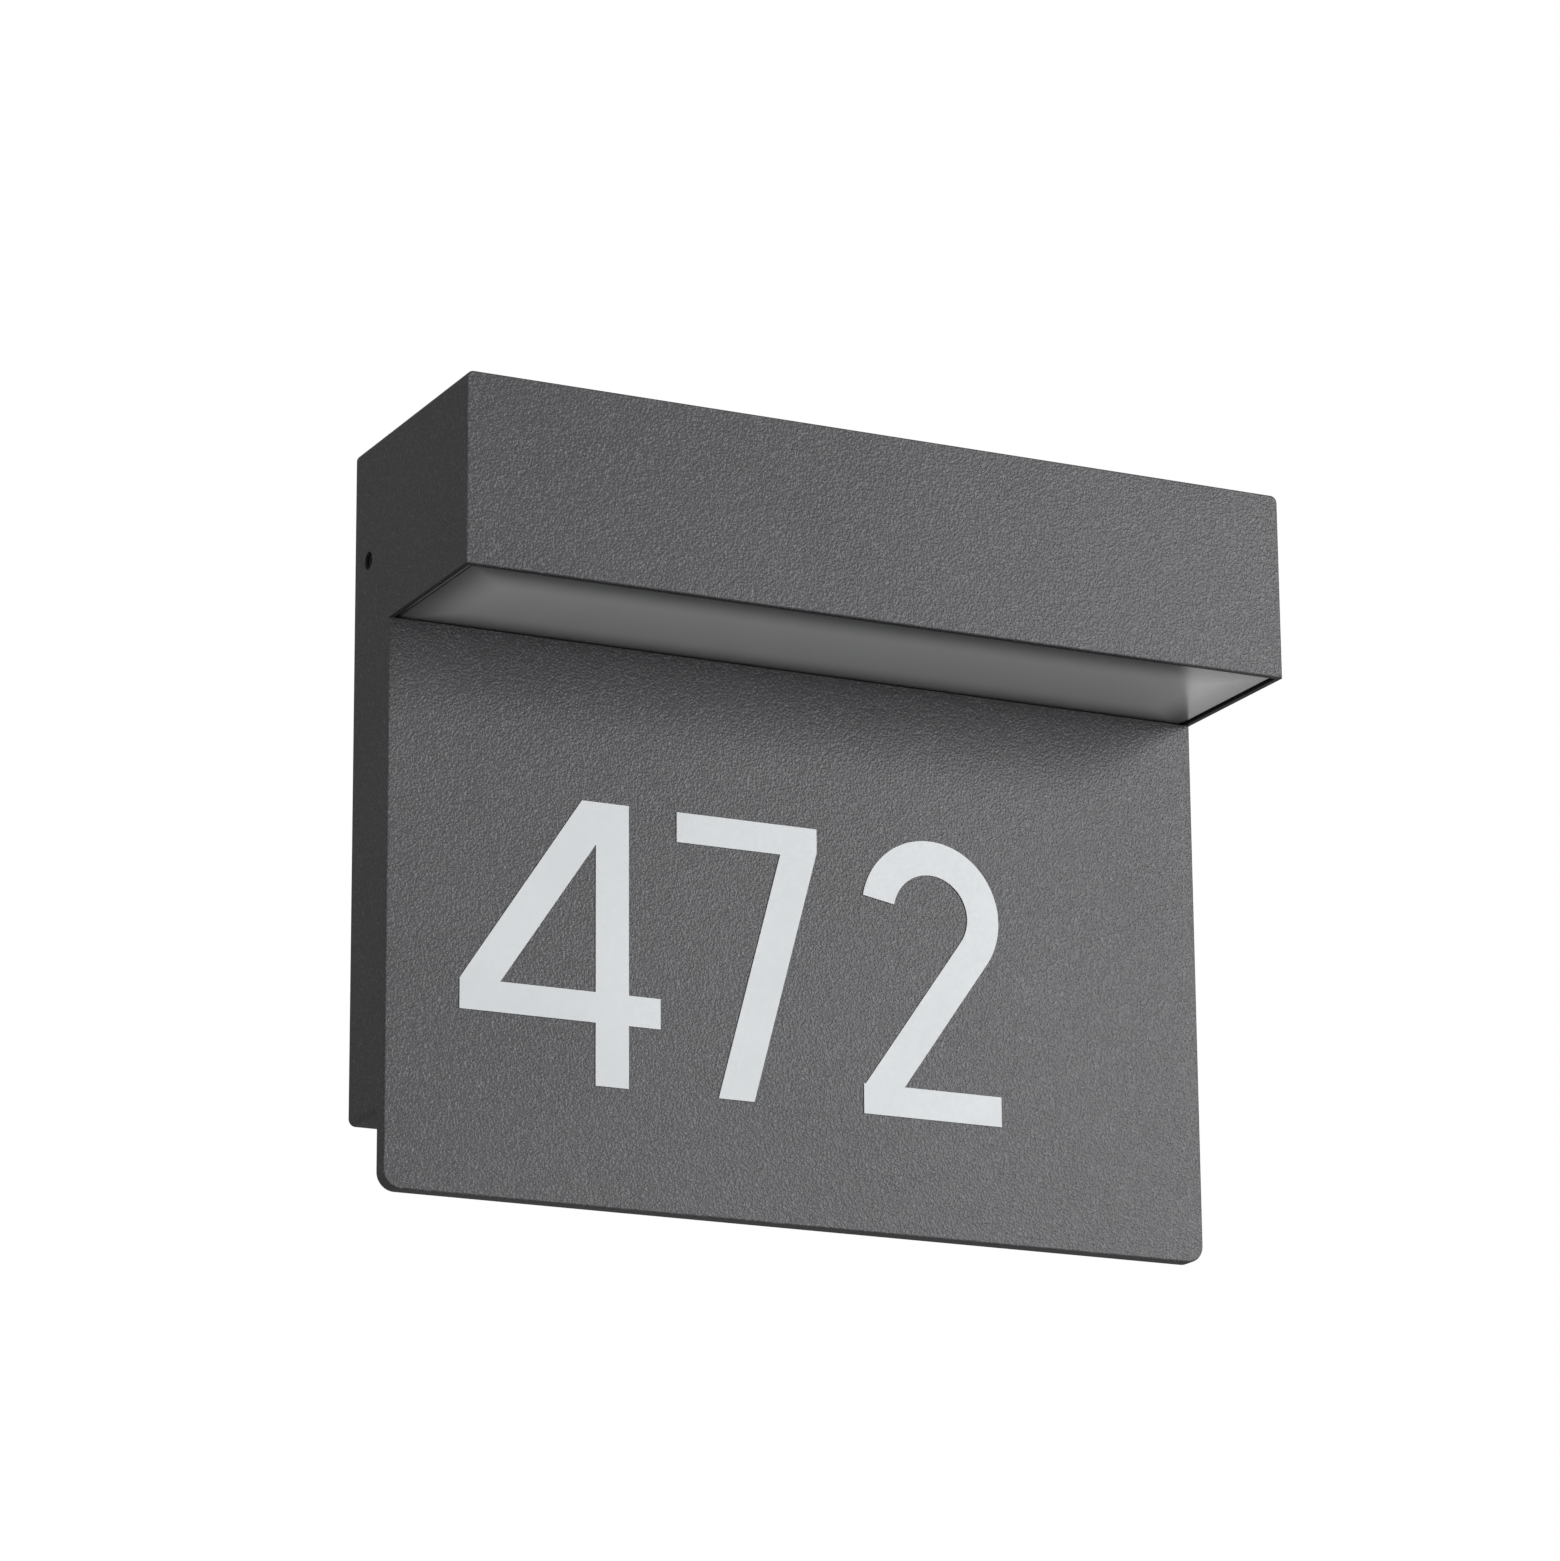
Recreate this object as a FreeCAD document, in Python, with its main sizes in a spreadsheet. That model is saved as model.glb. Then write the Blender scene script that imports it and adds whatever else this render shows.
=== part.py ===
import FreeCAD, Part
import math
import os
import Sketcher

# Illuminated house number sign, in millimetres.
#
# Frame: the wall is the plane y = 0 and the sign stands out from it towards -Y. +X is to the right
# for someone who looks at the sign, +Z is up. The origin is the centre of the wall bracket's screws,
# level with the two grub screws that hold the lamp on the bracket.

DIMENSIONS = (
    # outline of the sign
    ("sign_width", 250.0, "width of the hood, the rear shell and the number plate"),
    ("hood_height", 54.0, "height of the hood"),
    ("hood_reach", 52.6, "how far the hood stands out in front of the number plate"),
    ("shell_depth", 20.0, "wall to the back of the number plate"),
    ("shell_drop", 136.4, "underside of the hood to the bottom of the rear shell"),
    ("plate_drop", 157.8, "underside of the hood to the bottom of the number plate"),
    ("plate_gauge", 4.5, "thickness of the number plate"),
    ("casting_wall", 1.5, "wall of the die-cast housing"),
    ("outline_radius", 2.0, "rounding of the housing's corners, seen from the front"),
    ("plate_corner", 5.0, "rounding of the number plate's lower corners"),
    ("front_radius", 0.5, "rounding of the front edges of hood and plate"),
    # grub screws
    ("grub_height", 20.4, "underside of the hood to the grub screws"),
    ("grub_setback", 9.4, "wall to the grub screws"),
    ("grub_diameter", 5.0, "thread of the grub screws"),
    ("grub_length", 6.0, "length of the grub screws"),
    ("grub_sink", 1.0, "how deep the grub screws lie below the side"),
    ("grub_boss_diameter", 9.0, "boss that gives the grub screw its thread length"),
    ("grub_boss_room", 1.0, "how far the grub screw's tip passes its boss"),
    ("grub_socket", 2.5, "hexagon socket of the grub screws, across flats"),
    ("grub_gap", 0.2, "grub screw's tip to the bracket's flange"),
    # wall bracket
    ("bracket_gauge", 2.0, "sheet of the wall bracket"),
    ("bracket_height", 36.0, "height of the bracket's strap"),
    ("flange_room", 3.0, "front edge of the end flanges to the housing's web"),
    ("flange_corner", 4.0, "rounding of the flanges' front corners"),
    ("wall_slot_spacing", 150.0, "between the two wall screw slots"),
    ("wall_slot_length", 14.0, "end to end length of a wall screw slot"),
    ("wall_slot_width", 4.8, "width of a wall screw slot"),
    ("box_slot_spacing", 60.0, "between the two slots for a wall box"),
    ("box_slot_length", 8.0, "end to end length of a wall box slot"),
    ("box_slot_width", 4.2, "width of a wall box slot"),
    ("cable_hole_bridge", 5.0, "metal between a wall box slot and the cable hole"),
    ("cable_hole_diameter", 18.0, "cable hole of the bracket"),
    ("grommet_bore", 8.6, "bore of the cable grommet"),
    ("grommet_lip", 2.0, "how far the grommet's lip covers the rim of its hole"),
    ("grommet_lip_gauge", 1.2, "thickness of the grommet's front lip"),
    ("grommet_nose", 4.0, "how far the grommet's nose reaches past its lip"),
    # gasket to the wall
    ("gasket_width", 3.0, "width of the foam gasket inside the rear rim"),
    ("gasket_depth", 3.5, "depth of the foam gasket"),
    # number plate fixing
    ("screw_diameter", 2.9, "shank of the small screws"),
    ("screw_play", 0.25, "room round a screw in its clearance hole"),
    ("thread_play", 0.05, "room round a screw in its thread"),
    ("screw_head_diameter", 5.6, "head of the small screws"),
    ("screw_head_height", 1.9, "height of that head"),
    ("screw_end_room", 0.4, "room past the end of a screw in a blind hole"),
    ("plate_screw_inset", 25.0, "sides of the plate to the outer columns of its screws"),
    ("plate_screw_margin", 12.0, "number plate screws to the hood's underside and the shell's bottom"),
    ("plate_skin", 1.1, "metal left in front of the plate's screw holes"),
    # numerals
    ("numeral_height", 79.5, "height of the figures"),
    ("numeral_drop", 45.0, "underside of the hood to the top of the figures"),
    ("numeral_stroke", 9.9, "upright stroke of the figures"),
    ("numeral_bar", 8.5, "level stroke of the figures"),
    ("numeral_film", 0.3, "thickness of the adhesive film"),
    ("four_margin", 21.5, "left edge of the plate to the four"),
    ("four_width", 59.5, "width of the four"),
    ("four_tail", 9.5, "how far the four's bar passes its stem"),
    ("four_foot", 17.5, "underside of the four's bar above its foot"),
    ("four_shoulder", 4.2, "how far the four's head reaches left of its stem"),
    ("four_peak", 12.0, "top of the four to the top of its counter"),
    ("four_gap", 5.0, "four to seven"),
    ("seven_width", 43.0, "width of the seven"),
    ("seven_foot_inset", 12.5, "left end of the seven to its foot"),
    ("seven_foot_width", 10.8, "width of the seven's foot"),
    ("seven_neck", 11.3, "width of the seven's leg under its bar"),
    ("seven_gap", 14.0, "seven to two"),
    ("two_width", 43.0, "width of the two"),
    ("two_overshoot", 0.6, "how far the two passes the top of the other figures"),
    ("two_hook", 10.0, "where the two's bowl begins, in degrees above level"),
    ("two_turn", 35.0, "where its bowl runs out into the slant, in degrees below level"),
    # light panel
    ("panel_recess", 0.5, "underside of the hood to the light panel"),
    ("panel_gauge", 3.0, "thickness of the light panel"),
    ("seal_gap", 0.8, "gap round the light panel that the seal fills"),
    ("seal_inset", 0.5, "seal below the panel's face"),
    ("seal_bed", 0.5, "seal between the panel and the tray's rim"),
    ("seal_lap", 5.0, "how far the seal laps on the panel"),
    # lamp tray and board
    ("tray_gauge", 1.0, "sheet of the lamp tray"),
    ("tray_rim", 8.0, "width of the tray's rim"),
    ("tray_play", 0.5, "tray to the walls of the hood"),
    ("tray_boss_length", 8.0, "bosses under the hood's ceiling that carry the tray"),
    ("tray_boss_diameter", 8.0, "diameter of the short bosses"),
    ("tray_screw_margin", 10.0, "end of the tray's roof to its screws"),
    ("tray_screw_spacing", 18.0, "between the two screws at one end of the tray"),
    ("tray_screw_length", 6.0, "length of the tray's screws"),
    ("tray_lead_hole", 8.0, "hole in the tray's rear wall for the lamp leads"),
    ("board_end_room", 6.7, "ends of the lamp board to the heads of the tray's screws"),
    ("board_width", 20.0, "width of the lamp board"),
    ("board_gauge", 1.0, "thickness of the lamp board"),
    ("board_screw_margin", 9.0, "ends of the lamp board to its outer screws"),
    ("board_screw_length", 4.0, "length of the board's screws"),
    ("chip_count", 24.0, "lamp chips on the board"),
    ("chip_margin", 17.35, "ends of the lamp board to the outer lamp chips"),
    ("chip_length", 3.5, "long side of a lamp chip"),
    ("chip_width", 2.8, "short side of a lamp chip"),
    ("chip_height", 0.8, "height of a lamp chip"),
    ("chip_room", 1.8, "heads of the board's screws to the row of lamp chips"),
    ("connector_room", 0.7, "heads of the board's screws to the connector"),
    ("connector_margin", 7.0, "end of the lamp board to the middle of its connector"),
    ("connector_length", 8.0, "length of the board's connector"),
    ("connector_width", 5.0, "width of the board's connector"),
    ("connector_height", 5.0, "height of the board's connector"),
    # rear compartment
    ("driver_length", 110.0, "length of the driver's case"),
    ("driver_height", 36.0, "height of the driver's case"),
    ("driver_depth", 14.0, "depth of the driver's case with its lid"),
    ("driver_wall", 1.5, "wall of the driver's case and its lid"),
    ("driver_corner", 2.0, "rounding of the driver's corners"),
    ("driver_shift", 5.0, "driver off the middle of the sign, to the right"),
    ("driver_rise", 43.0, "bottom of the rear shell to the middle of the driver"),
    ("ear_length", 9.0, "length of the driver's fixing ears"),
    ("ear_width", 10.0, "width of the driver's fixing ears"),
    ("ear_gauge", 2.5, "thickness of the driver's fixing ears"),
    ("ear_boss_height", 4.0, "height of the bosses under the ears"),
    ("ear_screw_length", 5.0, "length of the driver's screws"),
    ("driver_post", 2.5, "height of the posts that carry the driver's board"),
    ("driver_board_gauge", 1.2, "thickness of the driver's board"),
    ("driver_board_play", 1.5, "driver's board to the walls of its case"),
    ("component_play", 0.4, "tallest components to the driver's lid"),
    ("transformer_length", 18.0, "transformer along the driver"),
    ("transformer_width", 16.0, "transformer across the driver"),
    ("capacitor_diameter", 8.0, "capacitors on the driver's board"),
    ("coil_diameter", 8.0, "mains filter coil"),
    ("choke_size", 10.0, "choke, each way"),
    ("bridge_size", 6.5, "rectifier bridge, each way"),
    ("controller_size", 4.5, "controller chip, each way"),
    ("terminal_offset", 78.0, "middle of the sign to the terminal block"),
    ("terminal_drop", 29.6, "underside of the hood to the middle of the terminal block"),
    ("terminal_pitch", 10.0, "between two poles of the terminal block"),
    ("terminal_end", 6.0, "middle of an outer pole to the end of the terminal block"),
    ("terminal_width", 17.0, "width of the terminal block, along its bores"),
    ("terminal_depth", 11.0, "depth of the terminal block"),
    ("terminal_boss_height", 3.0, "height of the bosses under the terminal block"),
    ("terminal_groove", 1.2, "width and depth of the grooves between the poles"),
    ("clamp_diameter", 5.0, "brass clamp of one pole"),
    ("clamp_recess", 2.0, "brass clamp's ends below the faces of the block"),
    ("clamp_bore", 1.8, "bore of a brass clamp"),
    ("clamp_play", 0.1, "room round a brass clamp in the block"),
    ("clamp_screw_diameter", 3.0, "clamping screws"),
    ("clamp_screw_spacing", 7.0, "between the two clamping screws of one pole"),
    ("clamp_screw_sink", 0.6, "clamping screws below the face of the block"),
    ("earth_offset", 32.0, "middle of the sign to the earth screw"),
    ("earth_room", 13.4, "driver to the middle of the earth screw above it"),
    ("earth_boss_diameter", 9.0, "boss of the earth screw"),
    ("earth_boss_height", 4.0, "height of that boss"),
    ("earth_screw_diameter", 3.9, "shank of the earth screw"),
    ("earth_head_diameter", 7.6, "head of the earth screw"),
    ("earth_head_height", 2.4, "height of that head"),
    ("earth_skin", 0.8, "metal left in front of the earth screw's hole"),
    ("washer_gauge", 0.6, "toothed washer and ring terminal, thickness of each"),
    ("washer_diameter", 8.4, "outer diameter of washer and ring"),
    ("ring_barrel_length", 6.0, "barrel of the ring terminal"),
    ("ring_barrel_diameter", 3.4, "outer diameter of that barrel"),
    # leads
    ("mains_lead_diameter", 2.2, "insulation of the mains and earth leads"),
    ("lamp_lead_diameter", 1.6, "insulation of the lamp leads"),
    ("lamp_lead_spacing", 3.0, "between the two lamp leads at grommet and connector"),
    ("lead_depth", 9.0, "wall to the plane that the leads lie in"),
    ("lead_hole_height", 26.4, "underside of the hood to the lead grommet"),
    ("lead_grommet_diameter", 9.0, "hole in the web for the lead grommet"),
    ("lead_grommet_lip", 1.5, "how far the lead grommet's lips cover the rim"),
    ("lead_grommet_lip_gauge", 1.0, "thickness of each lip"),
    ("lead_play", 0.1, "room round a lead in the grommet"),
)

doc = FreeCAD.newDocument("house_number_sign")
sheet = doc.addObject("Spreadsheet::Sheet", "dims")
for row, (alias, size, meaning) in enumerate(DIMENSIONS, start=1):
    sheet.set(f"A{row}", meaning)
    sheet.set(f"B{row}", str(size))
    sheet.setAlias(f"B{row}", alias)
doc.recompute()

UP = FreeCAD.Vector(0, 0, 1)
RIGHT = FreeCAD.Vector(1, 0, 0)
TO_WALL = FreeCAD.Vector(0, 1, 0)
TO_ROOM = FreeCAD.Vector(0, -1, 0)
TINY = 1e-6


class Size:
    """A length that is known both as a formula on the sheet and as a plain number."""

    def __init__(self, formula, number):
        self.formula = formula
        self.number = number

    def joined(self, sign, other, number):
        return Size(f"({self.formula} {sign} {as_size(other).formula})", number)

    def __add__(self, other):
        return self.joined("+", other, self.number + as_size(other).number)

    def __sub__(self, other):
        return self.joined("-", other, self.number - as_size(other).number)

    def __mul__(self, factor):
        return self.joined("*", factor, self.number * as_size(factor).number)

    def __truediv__(self, divisor):
        return self.joined("/", divisor, self.number / as_size(divisor).number)

    def __neg__(self):
        return Size(f"(0 - {self.formula})", -self.number)


def as_size(item):
    """A Size as it is, or a plain number as a Size."""
    return item if isinstance(item, Size) else Size(str(float(item)), float(item))


def on_sheet(alias):
    """The Size of one cell of the sheet."""
    return Size(f"dims.{alias}", float(sheet.get(alias)))


def bind(item, path, size):
    """Tie a property of an object to the sheet."""
    item.setExpression(path, as_size(size).formula)


ZERO = as_size(0)
dim = {alias: on_sheet(alias) for alias, size, meaning in DIMENSIONS}

# ---------------------------------------------------------------------------------------------
# Places that several pieces share
# ---------------------------------------------------------------------------------------------

half_width = dim["sign_width"] / 2
hood_base = -dim["grub_height"]
hood_top = hood_base + dim["hood_height"]
shell_base = hood_base - dim["shell_drop"]
plate_base = hood_base - dim["plate_drop"]
plate_back = -dim["shell_depth"]
plate_face = plate_back - dim["plate_gauge"]
hood_face = plate_face - dim["hood_reach"]

inner_half = half_width - dim["casting_wall"]
web_back = plate_back + dim["casting_wall"]
chamber_face = hood_face + dim["casting_wall"]
ceiling = hood_top - dim["casting_wall"]
chamber_middle = (chamber_face + plate_back) / 2

thread_bore = dim["screw_diameter"] + dim["thread_play"] * 2
clearance_bore = dim["screw_diameter"] + dim["screw_play"] * 2

plate_screw_rows = (hood_base - dim["plate_screw_margin"], shell_base + dim["plate_screw_margin"])
plate_screw_columns = (dim["plate_screw_inset"] - half_width, ZERO, half_width - dim["plate_screw_inset"])
plate_screw_grip = dim["plate_gauge"] - dim["plate_skin"] - dim["screw_end_room"]

panel_low = hood_base + dim["panel_recess"]
panel_high = panel_low + dim["panel_gauge"]
rim_low = panel_high + dim["seal_bed"]
rim_high = rim_low + dim["tray_gauge"]
roof_high = ceiling - dim["tray_boss_length"]
roof_low = roof_high - dim["tray_gauge"]
tray_rim_half = inner_half - dim["tray_play"]
tray_rim_front = chamber_face + dim["tray_play"]
tray_rim_back = plate_back - dim["tray_play"]
tray_half = tray_rim_half - dim["tray_rim"]
tray_front = tray_rim_front + dim["tray_rim"]
tray_back = tray_rim_back - dim["tray_rim"]
tray_screw_column = tray_half - dim["tray_screw_margin"]
tray_screw_places = [
    (side * tray_screw_column, chamber_middle + end * (dim["tray_screw_spacing"] / 2))
    for side in (Size("1", 1), Size("(0 - 1)", -1))
    for end in (Size("1", 1), Size("(0 - 1)", -1))
]
board_low = roof_low - dim["board_gauge"]
screw_head_radius = dim["screw_head_diameter"] / 2
board_half = tray_screw_column - screw_head_radius - dim["board_end_room"]
board_screw_columns = [(board_half - dim["board_screw_margin"]) * share for share in (-1, -1 / 3, 1 / 3, 1)]
chip_row = chamber_middle - screw_head_radius - dim["chip_room"] - dim["chip_width"] / 2
connector_middle = chamber_middle + screw_head_radius + dim["connector_room"] + dim["connector_width"] / 2
connector_column = board_half - dim["connector_margin"]
connector_low = board_low - dim["connector_height"]

terminal_middle = hood_base - dim["terminal_drop"]
terminal_back = web_back + dim["terminal_boss_height"]
terminal_face = terminal_back + dim["terminal_depth"]
terminal_axis = (terminal_back + terminal_face) / 2
clamp_length = dim["terminal_width"] - dim["clamp_recess"] * 2
clamp_end = terminal_middle - clamp_length / 2
pole_columns = [dim["terminal_pitch"] * step - dim["terminal_offset"] for step in (-1, 0, 1)]
terminal_screw_columns = [dim["terminal_pitch"] * step - dim["terminal_offset"] for step in (-0.5, 0.5)]

driver_middle = shell_base + dim["driver_rise"]
driver_left = dim["driver_shift"] - dim["driver_length"] / 2
driver_right = dim["driver_shift"] + dim["driver_length"] / 2
driver_low = driver_middle - dim["driver_height"] / 2
driver_high = driver_middle + dim["driver_height"] / 2
driver_face = web_back + dim["driver_depth"]
driver_seam = driver_face - dim["driver_wall"]
ear_low = driver_low + dim["driver_corner"]
ear_screw_level = ear_low + dim["ear_width"] / 2
ear_back = web_back + dim["ear_boss_height"]
ear_face = ear_back + dim["ear_gauge"]
ear_screw_columns = (driver_left - dim["ear_length"] / 2, driver_right + dim["ear_length"] / 2)

earth_level = driver_high + dim["earth_room"]
earth_column = -dim["earth_offset"]
earth_boss_face = web_back + dim["earth_boss_height"]
earth_seat = earth_boss_face + dim["washer_gauge"] * 2
earth_hole_depth = dim["earth_boss_height"] + dim["casting_wall"] - dim["earth_skin"]

lead_hole_level = hood_base + dim["lead_hole_height"]

four_right = dim["four_margin"] + dim["four_width"]
seven_right = four_right + dim["four_gap"] + dim["seven_width"]

grub_end = half_width - dim["grub_sink"]
grub_tip = grub_end - dim["grub_length"]
grub_boss_length = inner_half - grub_tip - dim["grub_boss_room"]
bracket_half = grub_tip - dim["grub_gap"]
flange_front = web_back + dim["flange_room"]
box_slot_end = (dim["box_slot_spacing"] + dim["box_slot_length"]) / 2
cable_hole_column = -(box_slot_end + dim["cable_hole_bridge"] + dim["cable_hole_diameter"] / 2)


# ---------------------------------------------------------------------------------------------
# Ways to draw and build
# ---------------------------------------------------------------------------------------------

def new_body(label):
    """An empty body whose label names its file."""
    body = doc.addObject("PartDesign::Body", label)
    body.Label = label
    return body


def sketch_on(body, name, role, level):
    """A sketch parallel to one of the body's origin planes, at a place along that plane's axis."""
    sketch = body.newObject("Sketcher::SketchObject", f"{body.Name}_{name}")
    plane = next(item for item in body.Origin.OriginFeatures if item.Role == role)
    sketch.AttachmentSupport = [(plane, "")]
    sketch.MapMode = "FlatFace"
    # The normal of the XZ plane points at the room, the normals of the other two along +X and +Z.
    offset = -as_size(level) if role == "XZ_Plane" else as_size(level)
    bind(sketch, "AttachmentOffset.Base.z", offset)
    return sketch


def set_distance(sketch, kind, geometry, end, size):
    """Tie one coordinate of a sketched point to the sheet."""
    if abs(size.number) < TINY:
        axis = -2 if kind == "DistanceX" else -1
        sketch.addConstraint(Sketcher.Constraint("PointOnObject", geometry, end, axis))
        return
    if size.number > 0:
        constraint = Sketcher.Constraint(kind, -1, 1, geometry, end, size.number)
        distance = size
    else:
        constraint = Sketcher.Constraint(kind, geometry, end, -1, 1, -size.number)
        distance = -size
    index = sketch.addConstraint(constraint)
    bind(sketch, f"Constraints[{index}]", distance)


def draw_polygon(sketch, corners):
    """Draw a closed outline of straight sides through corners given as pairs of sizes."""
    corners = [(as_size(across), as_size(along)) for across, along in corners]
    points = [FreeCAD.Vector(across.number, along.number, 0) for across, along in corners]
    first = sketch.GeometryCount
    count = len(points)
    for side in range(count):
        sketch.addGeometry(Part.LineSegment(points[side], points[(side + 1) % count]))
    for side in range(count):
        following = first + (side + 1) % count
        sketch.addConstraint(Sketcher.Constraint("Coincident", first + side, 2, following, 1))
    for side, (across, along) in enumerate(corners):
        set_distance(sketch, "DistanceX", first + side, 1, across)
        set_distance(sketch, "DistanceY", first + side, 1, along)


def draw_rectangle(sketch, left, right, low, high):
    """Draw a rectangle between two places across and two along."""
    draw_polygon(sketch, [(left, low), (right, low), (right, high), (left, high)])


def draw_circle(sketch, across, along, diameter):
    """Draw a circle round a place."""
    centre = (as_size(across), as_size(along))
    middle = FreeCAD.Vector(centre[0].number, centre[1].number, 0)
    index = sketch.addGeometry(Part.Circle(middle, UP, as_size(diameter).number / 2))
    set_distance(sketch, "DistanceX", index, 3, centre[0])
    set_distance(sketch, "DistanceY", index, 3, centre[1])
    size = sketch.addConstraint(Sketcher.Constraint("Diameter", index, as_size(diameter).number))
    bind(sketch, f"Constraints[{size}]", diameter)


def extrude(body, kind, sketch, length, toward):
    """Pad or pocket a sketch in one direction, and check that the body's volume follows."""
    doc.recompute()
    before = 0.0 if body.Shape.isNull() else body.Shape.Volume
    feature = body.newObject(f"PartDesign::{kind}", f"{sketch.Name}_{kind.lower()}")
    feature.Profile = sketch
    along_normal = sketch.Placement.Rotation.multVec(UP).dot(toward) > 0
    feature.Reversed = along_normal if kind == "Pocket" else not along_normal
    bind(feature, "Length", length)
    sketch.Visibility = False
    doc.recompute()
    change = body.Shape.Volume - before
    if (change >= 0) == (kind == "Pocket"):
        raise RuntimeError(f"{feature.Name} changes the volume by {change:.3f}")
    return feature


def pad(body, sketch, length, toward):
    """Add what a sketch sweeps out."""
    return extrude(body, "Pad", sketch, length, toward)


def pocket(body, sketch, depth, toward):
    """Take away what a sketch sweeps out."""
    return extrude(body, "Pocket", sketch, depth, toward)


def round_edges(body, name, radius, wanted):
    """Round the edges of the body that a test picks."""
    tip = body.Tip
    picked = [f"Edge{n}" for n, edge in enumerate(tip.Shape.Edges, start=1) if wanted(edge)]
    feature = body.newObject("PartDesign::Fillet", f"{body.Name}_{name}")
    feature.Base = (tip, picked)
    bind(feature, "Radius", radius)
    doc.recompute()
    return feature


def runs_along(edge, axis):
    """Whether an edge is straight and parallel to an axis."""
    if not isinstance(edge.Curve, Part.Line):
        return False
    return abs(edge.Curve.Direction.dot(axis)) > 1 - TINY


def is_at(edge, **places):
    """Whether an edge lies wholly at the given x, y or z."""
    box = edge.BoundBox
    reach = {"x": (box.XMin, box.XMax), "y": (box.YMin, box.YMax), "z": (box.ZMin, box.ZMax)}
    return all(abs(end - place.number) < 1e-3 for axis, place in places.items() for end in reach[axis])


def hide(*items):
    """Hide what a later object is made of."""
    for item in items:
        item.Visibility = False


def new_box(name, low, high):
    """A box between two corners, each a triple of sizes."""
    block = doc.addObject("Part::Box", name)
    for side, start, end in zip(("Length", "Width", "Height"), low, high):
        bind(block, side, as_size(end) - start)
    for axis, start in zip("xyz", low):
        bind(block, f"Placement.Base.{axis}", start)
    return block


def new_cylinder(name, start, axis, diameter, length):
    """A round bar from a place along an axis."""
    bar = doc.addObject("Part::Cylinder", name)
    bar.Placement.Rotation = FreeCAD.Rotation(UP, axis)
    bind(bar, "Radius", as_size(diameter) / 2)
    bind(bar, "Height", length)
    for name_of_axis, place in zip("xyz", start):
        bind(bar, f"Placement.Base.{name_of_axis}", place)
    return bar


def new_fusion(label, items):
    """One piece out of several."""
    fusion = doc.addObject("Part::MultiFuse", label)
    fusion.Label = label
    fusion.Shapes = items
    hide(*items)
    return fusion


def new_cut(label, base, tools):
    """A piece less one or several others."""
    cut = doc.addObject("Part::Cut", label)
    cut.Label = label
    cut.Base = base
    cut.Tool = tools[0] if len(tools) == 1 else new_fusion(f"{label}_tools", tools)
    hide(cut.Base, cut.Tool)
    return cut


def new_group(label, items):
    """Separate solids that share one node."""
    group = doc.addObject("Part::Compound", label)
    group.Label = label
    group.Links = items
    hide(*items)
    return group


def new_shape(label, shape):
    """A piece whose shape is worked out here."""
    piece = doc.addObject("Part::Feature", label)
    piece.Label = label
    piece.Shape = shape
    return piece


def vector(*sizes):
    """A point out of three sizes."""
    return FreeCAD.Vector(*(as_size(size).number for size in sizes))


# ---------------------------------------------------------------------------------------------
# Fasteners
# ---------------------------------------------------------------------------------------------

def pan_screw(head_diameter, head_height, shank_diameter, length):
    """A pan head screw: its head's seat is at the origin and its shank points up."""
    head_radius = head_diameter.number / 2
    head = head_height.number
    shank_radius = shank_diameter.number / 2
    rim = 0.45 * head
    point = 0.25 * shank_radius
    end = length.number
    crown = FreeCAD.Vector(0.75 * head_radius, 0, -0.85 * head)
    corners = [
        FreeCAD.Vector(head_radius, 0, -rim),
        FreeCAD.Vector(head_radius, 0, 0),
        FreeCAD.Vector(shank_radius, 0, 0),
        FreeCAD.Vector(shank_radius, 0, end - point),
        FreeCAD.Vector(shank_radius - point, 0, end),
        FreeCAD.Vector(0, 0, end),
        FreeCAD.Vector(0, 0, -head),
    ]
    edges = [Part.makeLine(start, stop) for start, stop in zip(corners, corners[1:])]
    edges.append(Part.Arc(corners[-1], crown, corners[0]).toShape())
    screw = Part.Face(Part.Wire(edges)).revolve(FreeCAD.Vector(), UP, 360)
    slot_length = 1.1 * head_radius
    slot_width = 0.24 * head_radius
    slot_depth = 0.6 * head
    for across, along in ((slot_length, slot_width), (slot_width, slot_length)):
        corner = FreeCAD.Vector(-across / 2, -along / 2, -head)
        screw = screw.cut(Part.makeBox(across, along, slot_depth, corner))
    return screw


def screws_at(label, screw, seats, toward):
    """Copies of a screw, each with its head's seat at one place."""
    copies = []
    for seat in seats:
        copy = screw.copy()
        copy.Placement = FreeCAD.Placement(vector(*seat), FreeCAD.Rotation(UP, toward))
        copies.append(copy)
    return new_shape(label, Part.makeCompound(copies))


def small_screw(length):
    """The small pan head screw in one of its lengths."""
    return pan_screw(dim["screw_head_diameter"], dim["screw_head_height"], dim["screw_diameter"], length)


def grub_screw(label, outward):
    """A grub screw, sunk in the side that an axis points out of."""
    side = Size("1", 1) if outward == RIGHT else Size("(0 - 1)", -1)
    level = (-dim["grub_setback"], ZERO)
    thread = new_cylinder(
        f"{label}_thread", (side * grub_tip, *level), outward, dim["grub_diameter"], dim["grub_length"]
    )
    socket = doc.addObject("Part::Prism", f"{label}_socket")
    socket.Polygon = 6
    socket.Placement.Rotation = FreeCAD.Rotation(UP, -outward)
    bind(socket, "Circumradius", dim["grub_socket"] * (1 / math.sqrt(3)))
    bind(socket, "Height", dim["grub_length"] / 2)
    for axis, place in zip("xyz", (side * grub_end, *level)):
        bind(socket, f"Placement.Base.{axis}", place)
    return new_cut(label, thread, [socket])


# ---------------------------------------------------------------------------------------------
# The wall side
# ---------------------------------------------------------------------------------------------

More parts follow.
